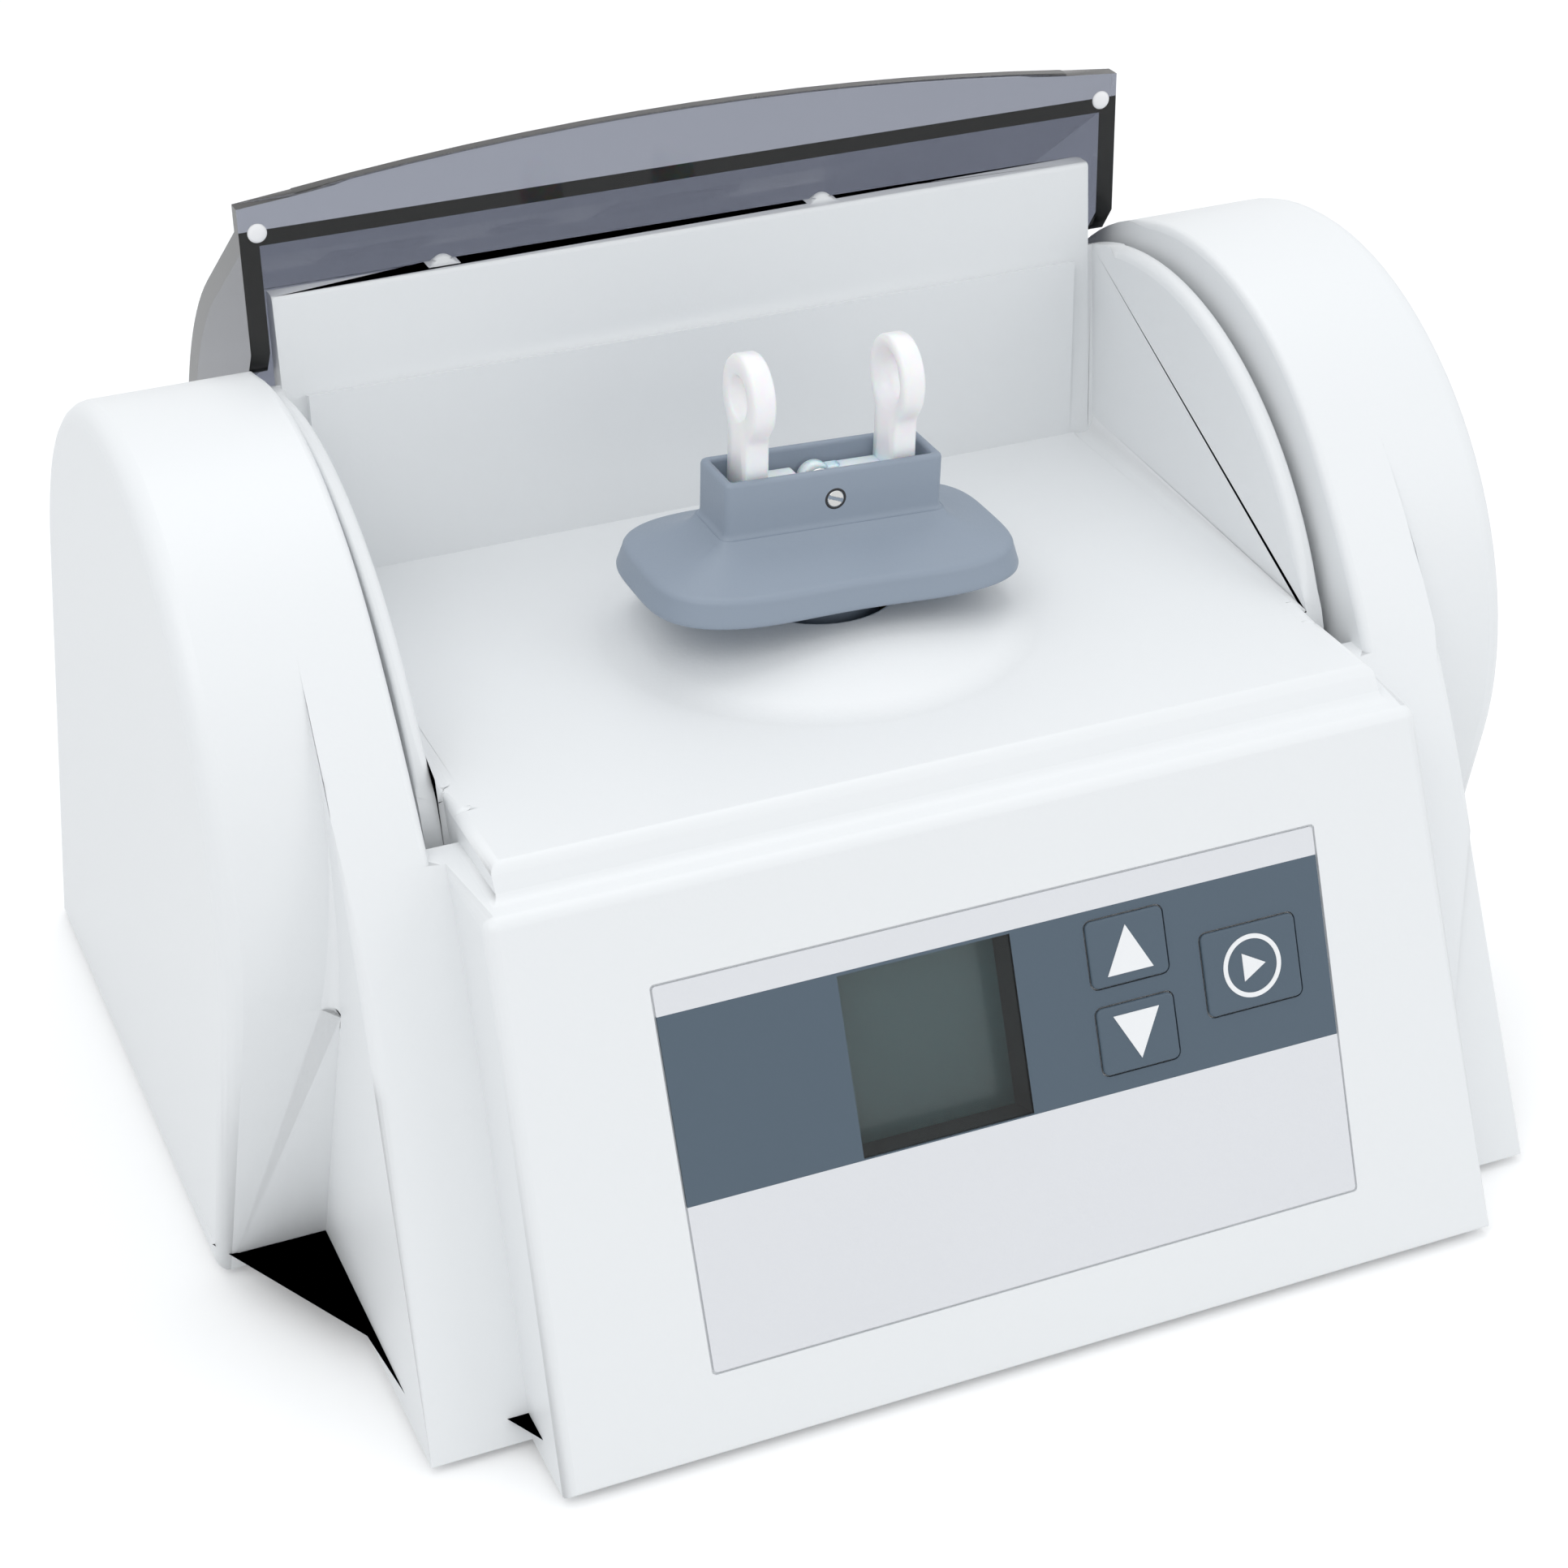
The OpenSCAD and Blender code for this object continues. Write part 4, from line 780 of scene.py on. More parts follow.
class MIXER_OT_housing(bpy.types.Operator):
    """Rounds the edges of the white moulding and gives it its grain"""

    bl_idname = "mixer.housing"
    bl_label = "Housing"

    def execute(self, context):
        s = context.scene.mixer_housing

        def widths(mid, angle, convex):
            """Rounding of each edge by where it lies."""
            x, y, z = np.abs(mid[:, 0]), mid[:, 1], mid[:, 2]
            bend = angle > 25
            reach = np.hypot(y - PIVOT_Y, z - PIVOT_Z)
            moon = np.sqrt(np.maximum(MOON_R**2 - (y - PIVOT_Y) ** 2, 0)) + PIVOT_Z - FLOOR_Z
            rim = (np.abs(reach - MOON_R) < 0.6) & (z > FLOOR_Z + 0.5) & (y < 147.5) & convex
            dome = np.hypot(x, y - MIXER_Y)
            valley = np.maximum(61.7 - 0.6586 * z, 0.2)
            inner = np.abs(x - WALL_X[0]) < 0.3
            near_floor = np.abs(z - FLOOR_Z) < 0.6
            rules = [
                ((z < 0.2) & ((x < 88) | (x > 113)), 0.5),
                ((x > 112) & convex, s.tower_round),
                ((x > 93) & (x < 103) & convex & (y < 125), np.clip(0.12 * valley, 0, 2.0)),
                ((x > 93) & (x < 103) & ~convex & (y < 125), np.clip(0.12 * valley, 0, 3.0)),
                ((np.abs(x - TOWER_X) < 0.3) & convex & (z > 30), 1.4),
                (rim & inner, np.clip(0.25 * moon, 0.1, 1.9)),
                (rim & (np.abs(x - WALL_X[1]) < 0.3), np.clip(0.25 * moon, 0.1, 0.6)),
                ((x > 80) & (x < 86.5) & (y < 45) & (z < 88) & convex, s.edge_round),
                ((x < 79) & (z > 91) & (z < 94) & convex & (y < 65), 1.6),
                ((x < 84) & (z > 86) & (z < 88.6) & ~convex & (y < 60), 1.2),
                (inner & near_floor & ~convex, np.clip(0.3 * moon, 0.05, 3.0)),
                ((x < 79) & (np.abs(y - 145) < 0.6) & near_floor, 4.5),
                ((z > 145) & (y > 144), 0.8),
                ((np.abs(x - SLAB_X) < 0.3) & (z > 132) & (y > 146), 1.4),
                ((dome < 14) & (z > 96) & convex, 0.8),
                ((y > 185) & convex & (z > 20), 0.8),
            ]
            places = [place & bend for place, width in rules]
            sizes = [np.broadcast_to(width, x.shape) for place, width in rules]
            return np.select(places, sizes, 0.0)

        obj = softened("housing", "housing_shell", widths, segments=4, steps=self.half_moon_walls())
        white = moulded("white housing", tuple(s.colour), 0.4, 2300.0, s.grain, 0.025)
        ready(obj, "case", "white_housing", white, "housing")
        return {"FINISHED"}

    @staticmethod
    def half_moon_walls():
        """Moves the chamber's side walls outwards: thin walls about the lid's hinge, with the floor
        and the back wall carried on to them. The back wall's face leans by 3.5 in 53.1. Each prism
        stands a nudge off the faces that it meets, because faces in one plane don't join cleanly."""
        foot_y, nudge = 145.0, 0.02

        def arc(r, low_z, rear_y):
            """Points on the circle of radius r about the hinge, from low_z in front to rear_y behind."""
            first = np.pi + math.asin((PIVOT_Z - low_z) / r)
            a = np.linspace(first, math.acos((rear_y - PIVOT_Y) / r), 90)
            return np.stack([PIVOT_Y + r * np.cos(a), PIVOT_Z + r * np.sin(a)], -1)

        def face(z):
            """How far back the back wall's face is at height z."""
            return foot_y - nudge + (z - FLOOR_Z) * 3.5 / 53.1

        floor_z, top_z = FLOOR_Z + nudge, FLOOR_Z + 42.0
        low_z = (floor_z + FLOOR_Z) / 2
        old_wall = [(50, low_z), (face(floor_z), low_z), (face(top_z), top_z), (50, top_z)]
        r = MOON_R - nudge
        curve = arc(r, 59.6, 151.0)
        front = curve[(curve[:, 0] < PIVOT_Y) & (curve[:, 1] < floor_z)]
        front_y = PIVOT_Y - math.sqrt(r**2 - (floor_z - PIVOT_Z) ** 2)
        rear = curve[curve[:, 0] > face(curve[:, 1])]
        line = np.linspace(front_y, face(floor_z), 40)
        floor = np.column_stack([line, np.full_like(line, floor_z)])
        joint = np.vstack([front, floor, rear, [(151.0, 59.6)]])
        wall = np.vstack([arc(MOON_R, 59.5, 151.1), [(151.1, 59.5)]])
        return [
            ("DIFFERENCE", old_wall, SLAB_X - 4.0, SLAB_X + 0.8),
            ("UNION", joint, SLAB_X - 0.8, WALL_X[1] - nudge),
            ("UNION", wall, *WALL_X),
        ]


class MIXER_OT_lid(bpy.types.Operator):
    """Rounds the smoked lid's edges, and sets its two white rest dots"""

    bl_idname = "mixer.lid"
    bl_label = "Lid"

    def execute(self, context):
        s = context.scene.mixer_lid

        def widths(mid, angle, convex):
            """The corner between sheet and cheeks is wide; other edges are narrow."""
            x, y, z = np.abs(mid[:, 0]), mid[:, 1] - PIVOT_Y, mid[:, 2] - PIVOT_Z
            along = y * math.cos(LID_TURN) + z * math.sin(LID_TURN)
            reach = np.where(np.arctan2(z, y) < LID_TURN, np.hypot(y, z), along)
            corner = (x > 82.9) & (np.abs(reach - LID_R) < 0.3) & (y > 24)
            hub = np.hypot(y, z) < 25
            plain = np.where((angle > 30) & convex & ~hub, 0.45, 0.0)
            return np.where(corner & (angle > 30), s.corner_round, plain)

        obj = softened("lid", "lid_shell", widths, segments=3, steps=self.thin_arms())
        ready(obj, "lid", "smoked_acrylic", smoked(), "lid")
        low, high = (drawn(corner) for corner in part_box("lid_bumpers"))
        middle_z = (low[2] + high[2]) / 2
        r = (high[2] - low[2]) / 2
        h = high[1] - low[1]
        profile = [(0.02, h), (0.5 * r, 0.94 * h), (0.85 * r, 0.7 * h), (r, 0.3 * h), (r, 0), (0.02, 0)]
        dome = turned_solid(profile, 32)
        parts = []
        for side in (low[0] + r, high[0] - r):
            spot = np.stack([side + dome[..., 0], high[1] - dome[..., 2], middle_z + dome[..., 1]], -1)
            parts.append(grid_solid(spot))
        dots = mesh_object("lid_rest_dots", *self.in_place(merged(parts)))
        finish = moulded("white rubber", (0.86, 0.86, 0.87), 0.45, 3000.0, 0.1)
        ready(dots, "lid", "white_rubber", finish, "lid_bumpers")
        self.hinge_parts()
        return {"FINISHED"}

    @staticmethod
    def in_place(solid):
        """A point and face list with its points in the frame's metres."""
        return placed(solid[0]), solid[1]

    @staticmethod
    def thin_arms():
        """Makes the arms into plates that run in the narrow slots outside the half moon walls."""
        lean, half, hub = math.radians(-6), 9.02, 10.02
        a = np.linspace(math.asin(half / hub), 2 * np.pi - math.asin(half / hub), 60)
        plate = np.vstack([hub * np.stack([np.cos(a), np.sin(a)], -1), [(75, -half), (75, half)]])
        turn = np.array([[math.cos(lean), math.sin(lean)], [-math.sin(lean), math.cos(lean)]])
        return [
            ("DIFFERENCE", circle(68.9), 70.0, ARM_X[0] + 0.01),
            ("UNION", plate @ turn + [PIVOT_Y, PIVOT_Z], *ARM_X),
            ("DIFFERENCE", circle(4.1), ARM_X[0] - 1, ARM_X[1] + 1),
            ("DIFFERENCE", circle(3.1, MAGNET), ARM_X[1] - 0.6, ARM_X[1] + 1),
        ]

    def hinge_parts(self):
        """The thin magnets in the arms and the washers on both sides of them."""
        spans = self.both(ARM_X[1] - 0.55, ARM_X[1])
        magnets = [self.in_place(prism(circle(3, MAGNET, 48), *span)) for span in spans]
        obj = mesh_object("lid_magnet_discs", *merged(magnets), smooth=False)
        ready(obj, "lid", "zinc_steel", zinc(), "lid_magnets")
        rings = []
        inner = self.both(WALL_X[1] + 0.02, ARM_X[0] - 0.02)
        outer = self.both(ARM_X[1] + 0.02, TOWER_X - 0.02)
        for low, high in inner + outer:
            ring = turned_solid([(4.06, low), (8, low), (8, high), (4.06, high)], 48)
            points, faces = grid_solid(ring[..., [2, 0, 1]] + [0, PIVOT_Y, PIVOT_Z], wrap_rows=True)
            rings.append((placed(points), faces))
        obj = mesh_object("hinge_washers", *merged(rings))
        obj.data.set_sharp_from_angle(angle=math.radians(40))
        nylon = moulded("white nylon", (0.8, 0.8, 0.77), 0.4, 2000.0, 0.1)
        ready(obj, "case", "nylon", nylon, "lid_washers")

    @staticmethod
    def both(low, high):
        """A span in X and its mirror image."""
        return [(low, high), (-high, -low)]


class MIXER_OT_holder(bpy.types.Operator):
    """Lofts the grey capsule holder: hub, skirt, apron, crown and tray in one closed skin"""

    bl_idname = "mixer.holder"
    bl_label = "Capsule holder"

    def execute(self, context):
        s = context.scene.mixer_holder
        a = np.linspace(0, 2 * np.pi, 240, endpoint=False)
        c, k = np.cos(a), np.sin(a)

        def ring(r):
            """A circle of radius r."""
            return np.stack([r * c, r * k], -1)

        def skirt(inset):
            """A superellipse of power 3.6 whose long sides draw in by a bell curve."""
            x = (34 - inset) * np.sign(c) * np.abs(c) ** (2 / 3.6)
            y = (20.5 - inset) * np.sign(k) * np.abs(k) ** (2 / 3.6)
            return np.stack([x, y * (1 - s.waist * np.exp(-((x / 16) ** 2)))], -1)

        def tray(inset, r=1.3):
            """A rectangle with rounded corners: each corner plus r times the direction."""
            hx, hy, r = 19.9 - inset, 6.4 - inset, max(r - 0.4 * inset, 0.35)
            x = np.clip(c * 6, -1, 1) * (hx - r) + r * c
            y = np.clip(k * 6, -1, 1) * (hy - r) + r * k
            return np.stack([x, y], -1)

        rings = [(ring(8.05), 110.9), (ring(8.05), 89.4), (ring(8.4), 89.4), (ring(10.6), 89.4)]
        rings += [(ring(11), 89.9), (ring(11), 104.6), (ring(12), 105.6), (skirt(4.5), 105.4)]
        rings += [(skirt(2.6), 104.6), (skirt(2.2), 103.45), (skirt(1.9), 103.2)]
        rings += [(skirt(0.35), 103.2), (skirt(0.05), 103.4), (skirt(0.0), 103.8)]
        for t in np.linspace(0.15, 1, 5):
            rings.append((skirt(s.flare * t), 103.8 + 3.0 * t))
        for t in np.linspace(0.2, 1, 5):
            turn = t * math.pi / 2.3
            rings.append((skirt(s.flare + 1.9 * (1 - math.cos(turn))), 106.8 + 1.5 * math.sin(turn)))
        edge, edge_z = rings[-1]
        root = tray(0.0)
        for t in np.linspace(0.06, 1, 16):
            w = 1 - (1 - t) ** 1.15
            rise = 4.3 * (0.8 * t + 0.2 * t * t) + 0.9 * t**9
            rings.append((edge * (1 - 0.93 * w) + root * 0.93 * w, edge_z + rise))
        near = rings[-1][0]
        for t in np.linspace(0.2, 1, 4):
            f = 1 - math.cos(t * math.pi / 2)
            w = math.sin(t * math.pi / 2)
            rings.append((near * (1 - w) + root * w, 113.35 + 1.3 * f))
        rings += [(root, 118.0), (root, 122.7), (tray(0.12), 123.15), (tray(0.45), 123.4)]
        rings += [(tray(1.15), 123.4), (tray(1.48), 123.15), (tray(1.6), 122.7)]
        rings += [(tray(1.6), 113.2), (tray(2.1), 112.7), (tray(4.0), 112.65)]
        rows = [np.column_stack([o[:, 0], MIXER_Y + o[:, 1], np.full(len(o), z)]) for o, z in rings]
        grid = np.stack(rows)
        points, faces = grid_solid(grid)
        obj = mesh_object("capsule_holder", placed(swashed(points)), faces)
        obj.data.set_sharp_from_angle(angle=math.radians(60))
        grey = moulded("grey holder", tuple(s.colour), 0.46, 2600.0, 0.12, 0.04)
        ready(obj, "capsule_holder", "grey_plastic", grey, "holder")
        self.pin()
        return {"FINISHED"}

    def pin(self):
        """The fork pin: a rod whose front face has a groove, in a shallow black ring of painted shade for
        the gap round it.
        """
        r, groove = 1.5, 0.26
        front = MIXER_Y - 6.4
        u = np.linspace(0, 2 * np.pi, 48, endpoint=False)
        radii = np.concatenate([np.linspace(0.05, 1.38, 12), [r, r]])
        rr, uu = np.meshgrid(radii, u, indexing="ij")
        x, z = rr * np.cos(uu), rr * np.sin(uu)
        turn = math.radians(70)
        across = x * math.cos(turn) + z * math.sin(turn)
        y = np.where(np.abs(across) < groove, front + 0.3, front - 0.06)
        y[-2:] = front + 0.06
        y[-1] = MIXER_Y + 6.4
        points, faces = grid_solid(np.stack([x, y, PIN_Z + z], -1))
        obj = mesh_object("pin_rod", placed(swashed(points)), faces)
        obj.data.set_sharp_from_angle(angle=math.radians(35))
        ready(obj, "capsule_holder", "bright_steel", bright_steel(), "fork_pin")
        # Painted shade: a thin black ring round each pin end stands in for the shade in the gap round the
        # pin.
        profile = [(1.5, 0.0), (1.5, 0.09), (1.62, 0.12), (1.82, 0.12), (1.92, 0.06), (1.94, 0.0)]
        gap_shade_ring = turned_solid(profile, 48)
        parts = []
        for sign in (-1, 1):
            y = MIXER_Y + sign * (6.34 + gap_shade_ring[..., 2])
            ring = np.stack([gap_shade_ring[..., 0], y, PIN_Z + gap_shade_ring[..., 1]], -1)
            parts.append(grid_solid(ring, wrap_rows=True))
        points, faces = merged(parts)
        rim = mesh_object("pin_gap_shade", placed(swashed(points)), faces)
        ready(rim, "capsule_holder", "black_plastic", black_plastic())


class MIXER_OT_forks(bpy.types.Operator):
    """Makes the two milky forks with their ring cups"""

    bl_idname = "mixer.forks"
    bl_label = "Forks"

    def execute(self, context):
        milk = milky()
        for side, name in ((1, "right_fork"), (-1, "left_fork")):
            eye_y = 2.9 * side
            bridge = rounded_box((2.2, eye_y, PIN_Z), (2.4, 1.28, 2.15), 0.4)
            parts = [self.ring(), self.foot(), bridge, self.knuckle(eye_y)]
            points, faces = merged(parts)
            points = points * [side, 1, 1] + [0, MIXER_Y, 0]
            if side < 0:
                faces = [f[::-1] for f in faces]
            obj = mesh_object(name + "_cup", placed(swashed(points)), faces)
            obj.data.set_sharp_from_angle(angle=math.radians(60))
            ready(obj, name, "milky_plastic", milk, name)
        return {"FINISHED"}

    @staticmethod
    def outline(count=150):
        """Distance from the ring's centre to the outline by direction: a circle of 7.5 blended with
        a stem 4.25 to each side and 20.2 down, then spaced evenly along the curve."""
        a = np.linspace(0, 2 * np.pi, 2400, endpoint=False)
        down = np.maximum(-np.sin(a), 1e-3)
        across = np.maximum(np.abs(np.cos(a)), 1e-3)
        stem = np.where(np.sin(a) < -0.05, np.minimum(4.25 / across, 20.2 / down), 0.0)
        r = (7.5**9 + stem**9) ** (1 / 9)
        p = np.stack([r * np.cos(a), r * np.sin(a)], -1)
        step = np.linalg.norm(np.roll(p, -1, 0) - p, axis=1)
        walk = np.concatenate([[0], np.cumsum(step)])
        want = np.linspace(0, walk[-1], count, endpoint=False)
        angle = np.interp(want, walk, np.concatenate([a, [2 * np.pi]]))
        return angle, np.interp(angle, a, r, period=2 * np.pi)

    def ring(self):
        """A closed ring of rings: across the inner cup, over the outer edge and back through the hole."""
        a, r = self.outline()
        hole = [(3.8, 15.2), (3.8, 13.2), (4.6, 12.2), (5.3, 11.6), (5.6, 11.42)]
        rim = [(0.9, 11.4), (0.28, 11.62), (0.0, 12.1), (0.0, 14.9), (0.28, 15.38), (0.9, 15.6)]
        back = [(4.3, 15.6), (3.95, 15.48)]
        rows = [(np.full_like(r, q), x) for q, x in hole]
        rows += [(r - inset, x) for inset, x in rim]
        rows += [(np.full_like(r, q), x) for q, x in back]
        c, k = np.cos(a), np.sin(a)
        rings = [np.column_stack([np.full_like(q, x), q * c, 136 + q * k]) for q, x in rows]
        return grid_solid(np.stack(rings), wrap_rows=True)

    @staticmethod
    def foot():
        """The block between the ring's stem and the pin."""
        return rounded_box((9.4, 0, PIN_Z), (5.6, 4.2, 2.15), 0.7)

    @staticmethod
    def knuckle(y):
        """A round eye about the pin."""
        profile = [(1.56, -1.25), (2.6, -1.25), (2.95, -1.0), (2.95, 1.0), (2.6, 1.25), (1.56, 1.25)]
        ring = turned_solid(profile, 40)
        eye = np.stack([ring[..., 0], y + ring[..., 2], PIN_Z + ring[..., 1]], -1)
        return grid_solid(eye, wrap_rows=True)


class MIXER_OT_springs(bpy.types.Operator):
    """Winds the fork spring and the two restraint springs"""

    bl_idname = "mixer.springs"
    bl_label = "Springs"

    def execute(self, context):
        steel = bright_steel()
        t = np.linspace(0, 4 * 2 * np.pi, 4 * 28)
        y = MIXER_Y + np.linspace(-1.15, 1.15, len(t))
        coil = np.stack([2.3 * np.cos(t), y, PIN_Z + 2.3 * np.sin(t)], -1)
        points, faces = tube(coil, 0.27)
        obj = mesh_object("fork_coil", placed(swashed(points)), faces)
        ready(obj, "capsule_holder", "bright_steel", steel, "fork_spring")
        parts = []
        turns = 13
        t = np.linspace(0, turns * 2 * np.pi, turns * 20)
        for sign in (-1, 1):
            y = MIXER_Y + sign * np.linspace(12.0, 28.6, len(t))
            parts.append(tube(np.stack([1.6 * np.cos(t), y, 90.6 + 1.6 * np.sin(t)], -1), 0.33, 8))
        points, faces = merged(parts)
        obj = mesh_object("restraint_coils", placed(points), faces)
        ready(obj, "case", "bright_steel", steel, "restraint_springs")
        return {"FINISHED"}


class MIXER_OT_panel(bpy.types.Operator):
    """Finishes the front panel: film, keys, marks, display and its window"""

    bl_idname = "mixer.panel"
    bl_label = "Panel"

    def execute(self, context):
        foil = printed_foil()
        paint("panel_foil", foil)
        for key in ("up_key", "down_key", "start_key"):
            obj = softened(key, key + "_cap", width=0.32, sharp=60, segments=3)
            ready(obj, key, "key_plastic", foil, key)
        white = moulded("white print", (0.86, 0.87, 0.88), 0.5, 5000.0, 0.05)
        for mark in ("up_arrow", "down_arrow", "start_mark"):
            paint(mark, white)
        paint("lcd_window", clear_window())
        paint("lcd_module", display())
        paint("lcd_frame", moulded("display frame", (0.012, 0.014, 0.018), 0.5, 2600.0, 0.1))
        return {"FINISHED"}


class MIXER_OT_rear(bpy.types.Operator):
    """Finishes the mains inlet, fuse, rocker switch, base plate and feet"""

    bl_idname = "mixer.rear"
    bl_label = "Rear and base"

    def execute(self, context):
        black = black_plastic()
        bodies = {"fuse_cap": "fuse_cap", "rocker": "rocker"}
        for node in ("mains_inlet", "fuse_holder", "fuse_cap", "rocker_frame", "rocker"):
            obj = softened(node, node + "_body", width=0.25, sharp=45)
            ready(obj, bodies.get(node, "case"), "black_plastic", black, node)
        base = moulded("base plastic", (0.05, 0.052, 0.056), 0.6, 900.0, 0.35)
        obj = softened("base_plate", "base_tray", width=0.4, sharp=45)
        ready(obj, "case", "base_plastic", base, "base_plate")
        obj = softened("feet", "rubber_feet", width=0.3, sharp=45)
        ready(obj, "case", "rubber", rubber(), "feet")
        paint("inlet_blades", bright_steel())
        paint("base_screws", zinc())
        return {"FINISHED"}


class MIXER_OT_inside(bpy.types.Operator):
    """Finishes everything that the housing holds"""

    bl_idname = "mixer.inside"
    bl_label = "Inside"

    def execute(self, context):
        for node in ("control_board", "power_board", "reed_switch"):
            paint(node, circuit())
        screws = ("board_screws", "bracket_screws", "transformer_bolt")
        for node in (*screws, "lid_pins", "motor_can", "motor_bracket"):
            paint(node, zinc())
        for node in ("hub_bearings", "motor_bearings", "rotor_shaft"):
            paint(node, bright_steel())
        for node in ("tact_switches", "power_parts", "hub_clip"):
            paint(node, black_plastic())
        paint("motor_buffers", rubber())
        paint("counterweight", metal("turned brass", (0.68, 0.5, 0.2), 0.2, (1.0, 1.0, 60.0)))
        paint("rotor_core", metal("core sheets", (0.4, 0.4, 0.42), 0.35, (1.0, 1.0, 90.0)))
        paint("motor_windings", wound("copper wire", (0.6, 0.24, 0.08), 900.0, 0.3, 0.8))
        paint("transformer", wound("wound tape", (0.62, 0.43, 0.06), 160.0))
        return {"FINISHED"}


class MIXER_OT_stage(bpy.types.Operator):
    """Sets the camera, the floor, the lamps and the room's light"""

    bl_idname = "mixer.stage"
    bl_label = "Stage"

    def execute(self, context):
        s = context.scene.mixer_stage
        self.camera(context, s.lens)
        self.floor(s)
        self.world(context, s.light)
        lamps = [
            ("key lamp", (-0.55, -0.45, 0.95), 0.55, 1.6),
            ("fill lamp", (0.75, -0.7, 0.6), 0.6, 1.1),
            ("top lamp", (0.1, 0.25, 1.1), 0.7, 1.9),
        ]
        for name, place, size, power in lamps:
            lamp = bpy.data.lights.new(name, "AREA")
            lamp.energy = power
            lamp.size = size
            obj = bpy.data.objects.new(name, lamp)
            target = np.array([0, 0, 0.07])
            obj.matrix_world = self.looking(np.array(place), np.array(place) - target)
            context.scene.collection.objects.link(obj)
        context.scene.view_settings.view_transform = "Standard"
        return {"FINISHED"}

    @staticmethod
    def looking(place, back, roll=0.0):
        """A matrix at place whose local Z is back and whose local X is level, then rolled."""
        back = back / np.linalg.norm(back)
        right = np.cross([0, 0, 1.0], back)
        right /= np.linalg.norm(right)
        up = np.cross(back, right)
        c, s = math.cos(roll), math.sin(roll)
        right, up = c * right + s * up, c * up - s * right
        m = np.eye(4)
        m[:3, 0], m[:3, 1], m[:3, 2], m[:3, 3] = right, up, back, place
        return Matrix(m.tolist())

    def camera(self, context, lens):
        """Sets the camera where the photograph's was, as fitted to the housing's straight edges."""
        azimuth, height, roll = math.radians(-22.218), math.radians(30.504), math.radians(-1.031)
        level = math.cos(height)
        back = np.array([math.sin(azimuth) * level, -math.cos(azimuth) * level, math.sin(height)])
        target = placed([-9.819, 88.329, 65.070])
        data = bpy.data.cameras.new("camera")
        data.lens = lens
        data.sensor_width = 36.0
        data.clip_start = 0.01
        obj = bpy.data.objects.new("camera", data)
        obj.matrix_world = self.looking(target + 0.577 * back, back, roll)
        context.scene.collection.objects.link(obj)
        context.scene.camera = obj

    @staticmethod
    def floor(s):
        """Lays a plain pale floor that glows a little to the camera, so that it meets the backdrop."""
        size = 6.0
        line = np.linspace(-size, size, 25)
        x, y = np.meshgrid(line, line, indexing="ij")
        points = np.stack([x, y, np.zeros_like(x)], -1).reshape(-1, 3)
        faces = grid_faces(25, 25, wrap_cols=False)[:, ::-1]
        obj = mesh_object("floor", points, faces)
        f = Finish("pale floor", Base_Color=(*s.floor, 1), Roughness=0.85)
        glow = add(f.tree, "ShaderNodeEmission", inputs={"Strength": 0.16})
        total = add(f.tree, "ShaderNodeAddShader")
        seen = add(f.tree, "ShaderNodeMixShader")
        path = add(f.tree, "ShaderNodeLightPath")
        f.link(f.shader.outputs[0], total.inputs[0])
        f.link(glow.outputs[0], total.inputs[1])
        f.link(path.outputs["Is Camera Ray"], seen.inputs[0])
        f.link(f.shader.outputs[0], seen.inputs[1])
        f.link(total.outputs[0], seen.inputs[2])
        f.link(seen.outputs[0], f.tree.nodes["Material Output"].inputs["Surface"])
        obj.data.materials.append(f.material)

    @staticmethod
    def world(context, strength):
        """Lights the room evenly; the camera, reflections and glass see plain white instead."""
        world = bpy.data.worlds.new("even light")
        context.scene.world = world
        world.use_nodes = True
        tree = world.node_tree
        lit = tree.nodes["Background"]
        lit.inputs["Color"].default_value = (0.96, 0.98, 1.0, 1)
        lit.inputs["Strength"].default_value = strength
        seen = add(tree, "ShaderNodeBackground", inputs={"Color": (1, 1, 1, 1), "Strength": 1.0})
        path = add(tree, "ShaderNodeLightPath")
        either = math_node(tree, "MAXIMUM", path.outputs["Is Camera Ray"], path.outputs["Is Glossy Ray"])
        either = math_node(tree, "MAXIMUM", either, path.outputs["Is Transmission Ray"])
        mix = add(tree, "ShaderNodeMixShader")
        tree.links.new(either, mix.inputs[0])
        tree.links.new(lit.outputs[0], mix.inputs[1])
        tree.links.new(seen.outputs[0], mix.inputs[2])
        tree.links.new(mix.outputs[0], tree.nodes["World Output"].inputs["Surface"])


STEPS = (
    MIXER_OT_stage,
    MIXER_OT_housing,
    MIXER_OT_lid,
    MIXER_OT_holder,
    MIXER_OT_forks,
    MIXER_OT_springs,
    MIXER_OT_panel,
    MIXER_OT_rear,
    MIXER_OT_inside,
)
SETTINGS = {
    "mixer_housing": MixerHousing,
    "mixer_lid": MixerLid,
    "mixer_holder": MixerHolder,
    "mixer_panel": MixerPanel,
    "mixer_stage": MixerStage,
}


class MIXER_PT_sidebar(bpy.types.Panel):
    """Lists the mixer's settings and its steps"""

    bl_idname = "MIXER_PT_sidebar"
    bl_label = "Mixer"
    bl_space_type = "VIEW_3D"
    bl_region_type = "UI"
    bl_category = "Mixer"

    def draw(self, context):
        for key in SETTINGS:
            group = getattr(context.scene, key)
            box = self.layout.box()
            for name in group.bl_rna.properties.keys():
                if name not in ("rna_type", "name"):
                    box.prop(group, name)
        for step in STEPS:
            self.layout.operator(step.bl_idname)


CLASSES = (*SETTINGS.values(), *STEPS, MIXER_PT_sidebar)


def register():
    for item in CLASSES:
        bpy.utils.register_class(item)
    for key, kind in SETTINGS.items():
        setattr(bpy.types.Scene, key, bpy.props.PointerProperty(type=kind))


def unregister():
    for key in SETTINGS:
        delattr(bpy.types.Scene, key)
    for item in reversed(CLASSES):
        bpy.utils.unregister_class(item)


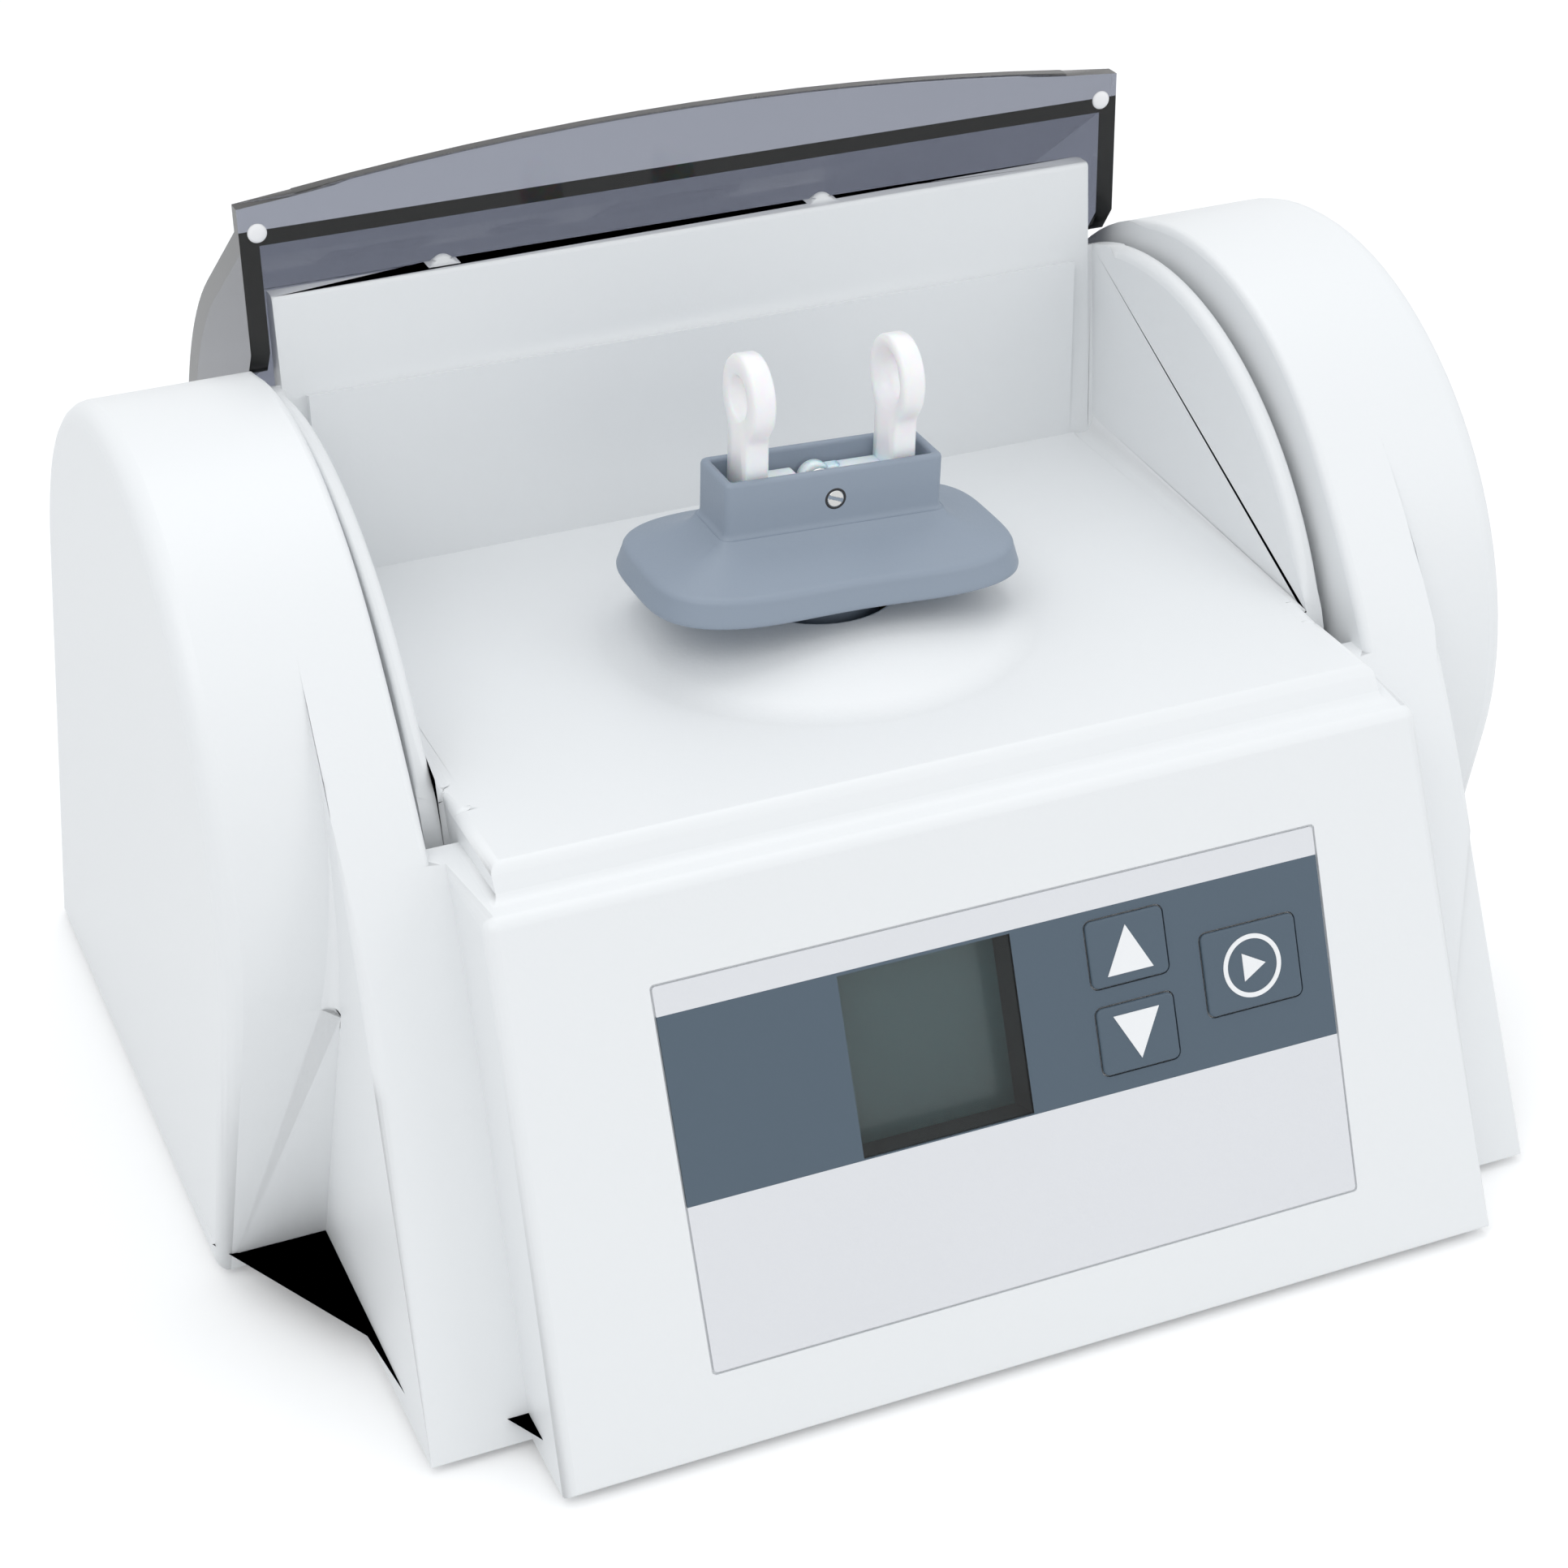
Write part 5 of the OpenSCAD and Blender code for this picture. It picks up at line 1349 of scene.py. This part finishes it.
def main():
    """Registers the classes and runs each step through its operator."""
    register()
    bpy.ops.mixer.stage()
    bpy.ops.mixer.housing()
    bpy.ops.mixer.lid()
    bpy.ops.mixer.holder()
    bpy.ops.mixer.forks()
    bpy.ops.mixer.springs()
    bpy.ops.mixer.panel()
    bpy.ops.mixer.rear()
    bpy.ops.mixer.inside()


if __name__ == "__main__":
    main()
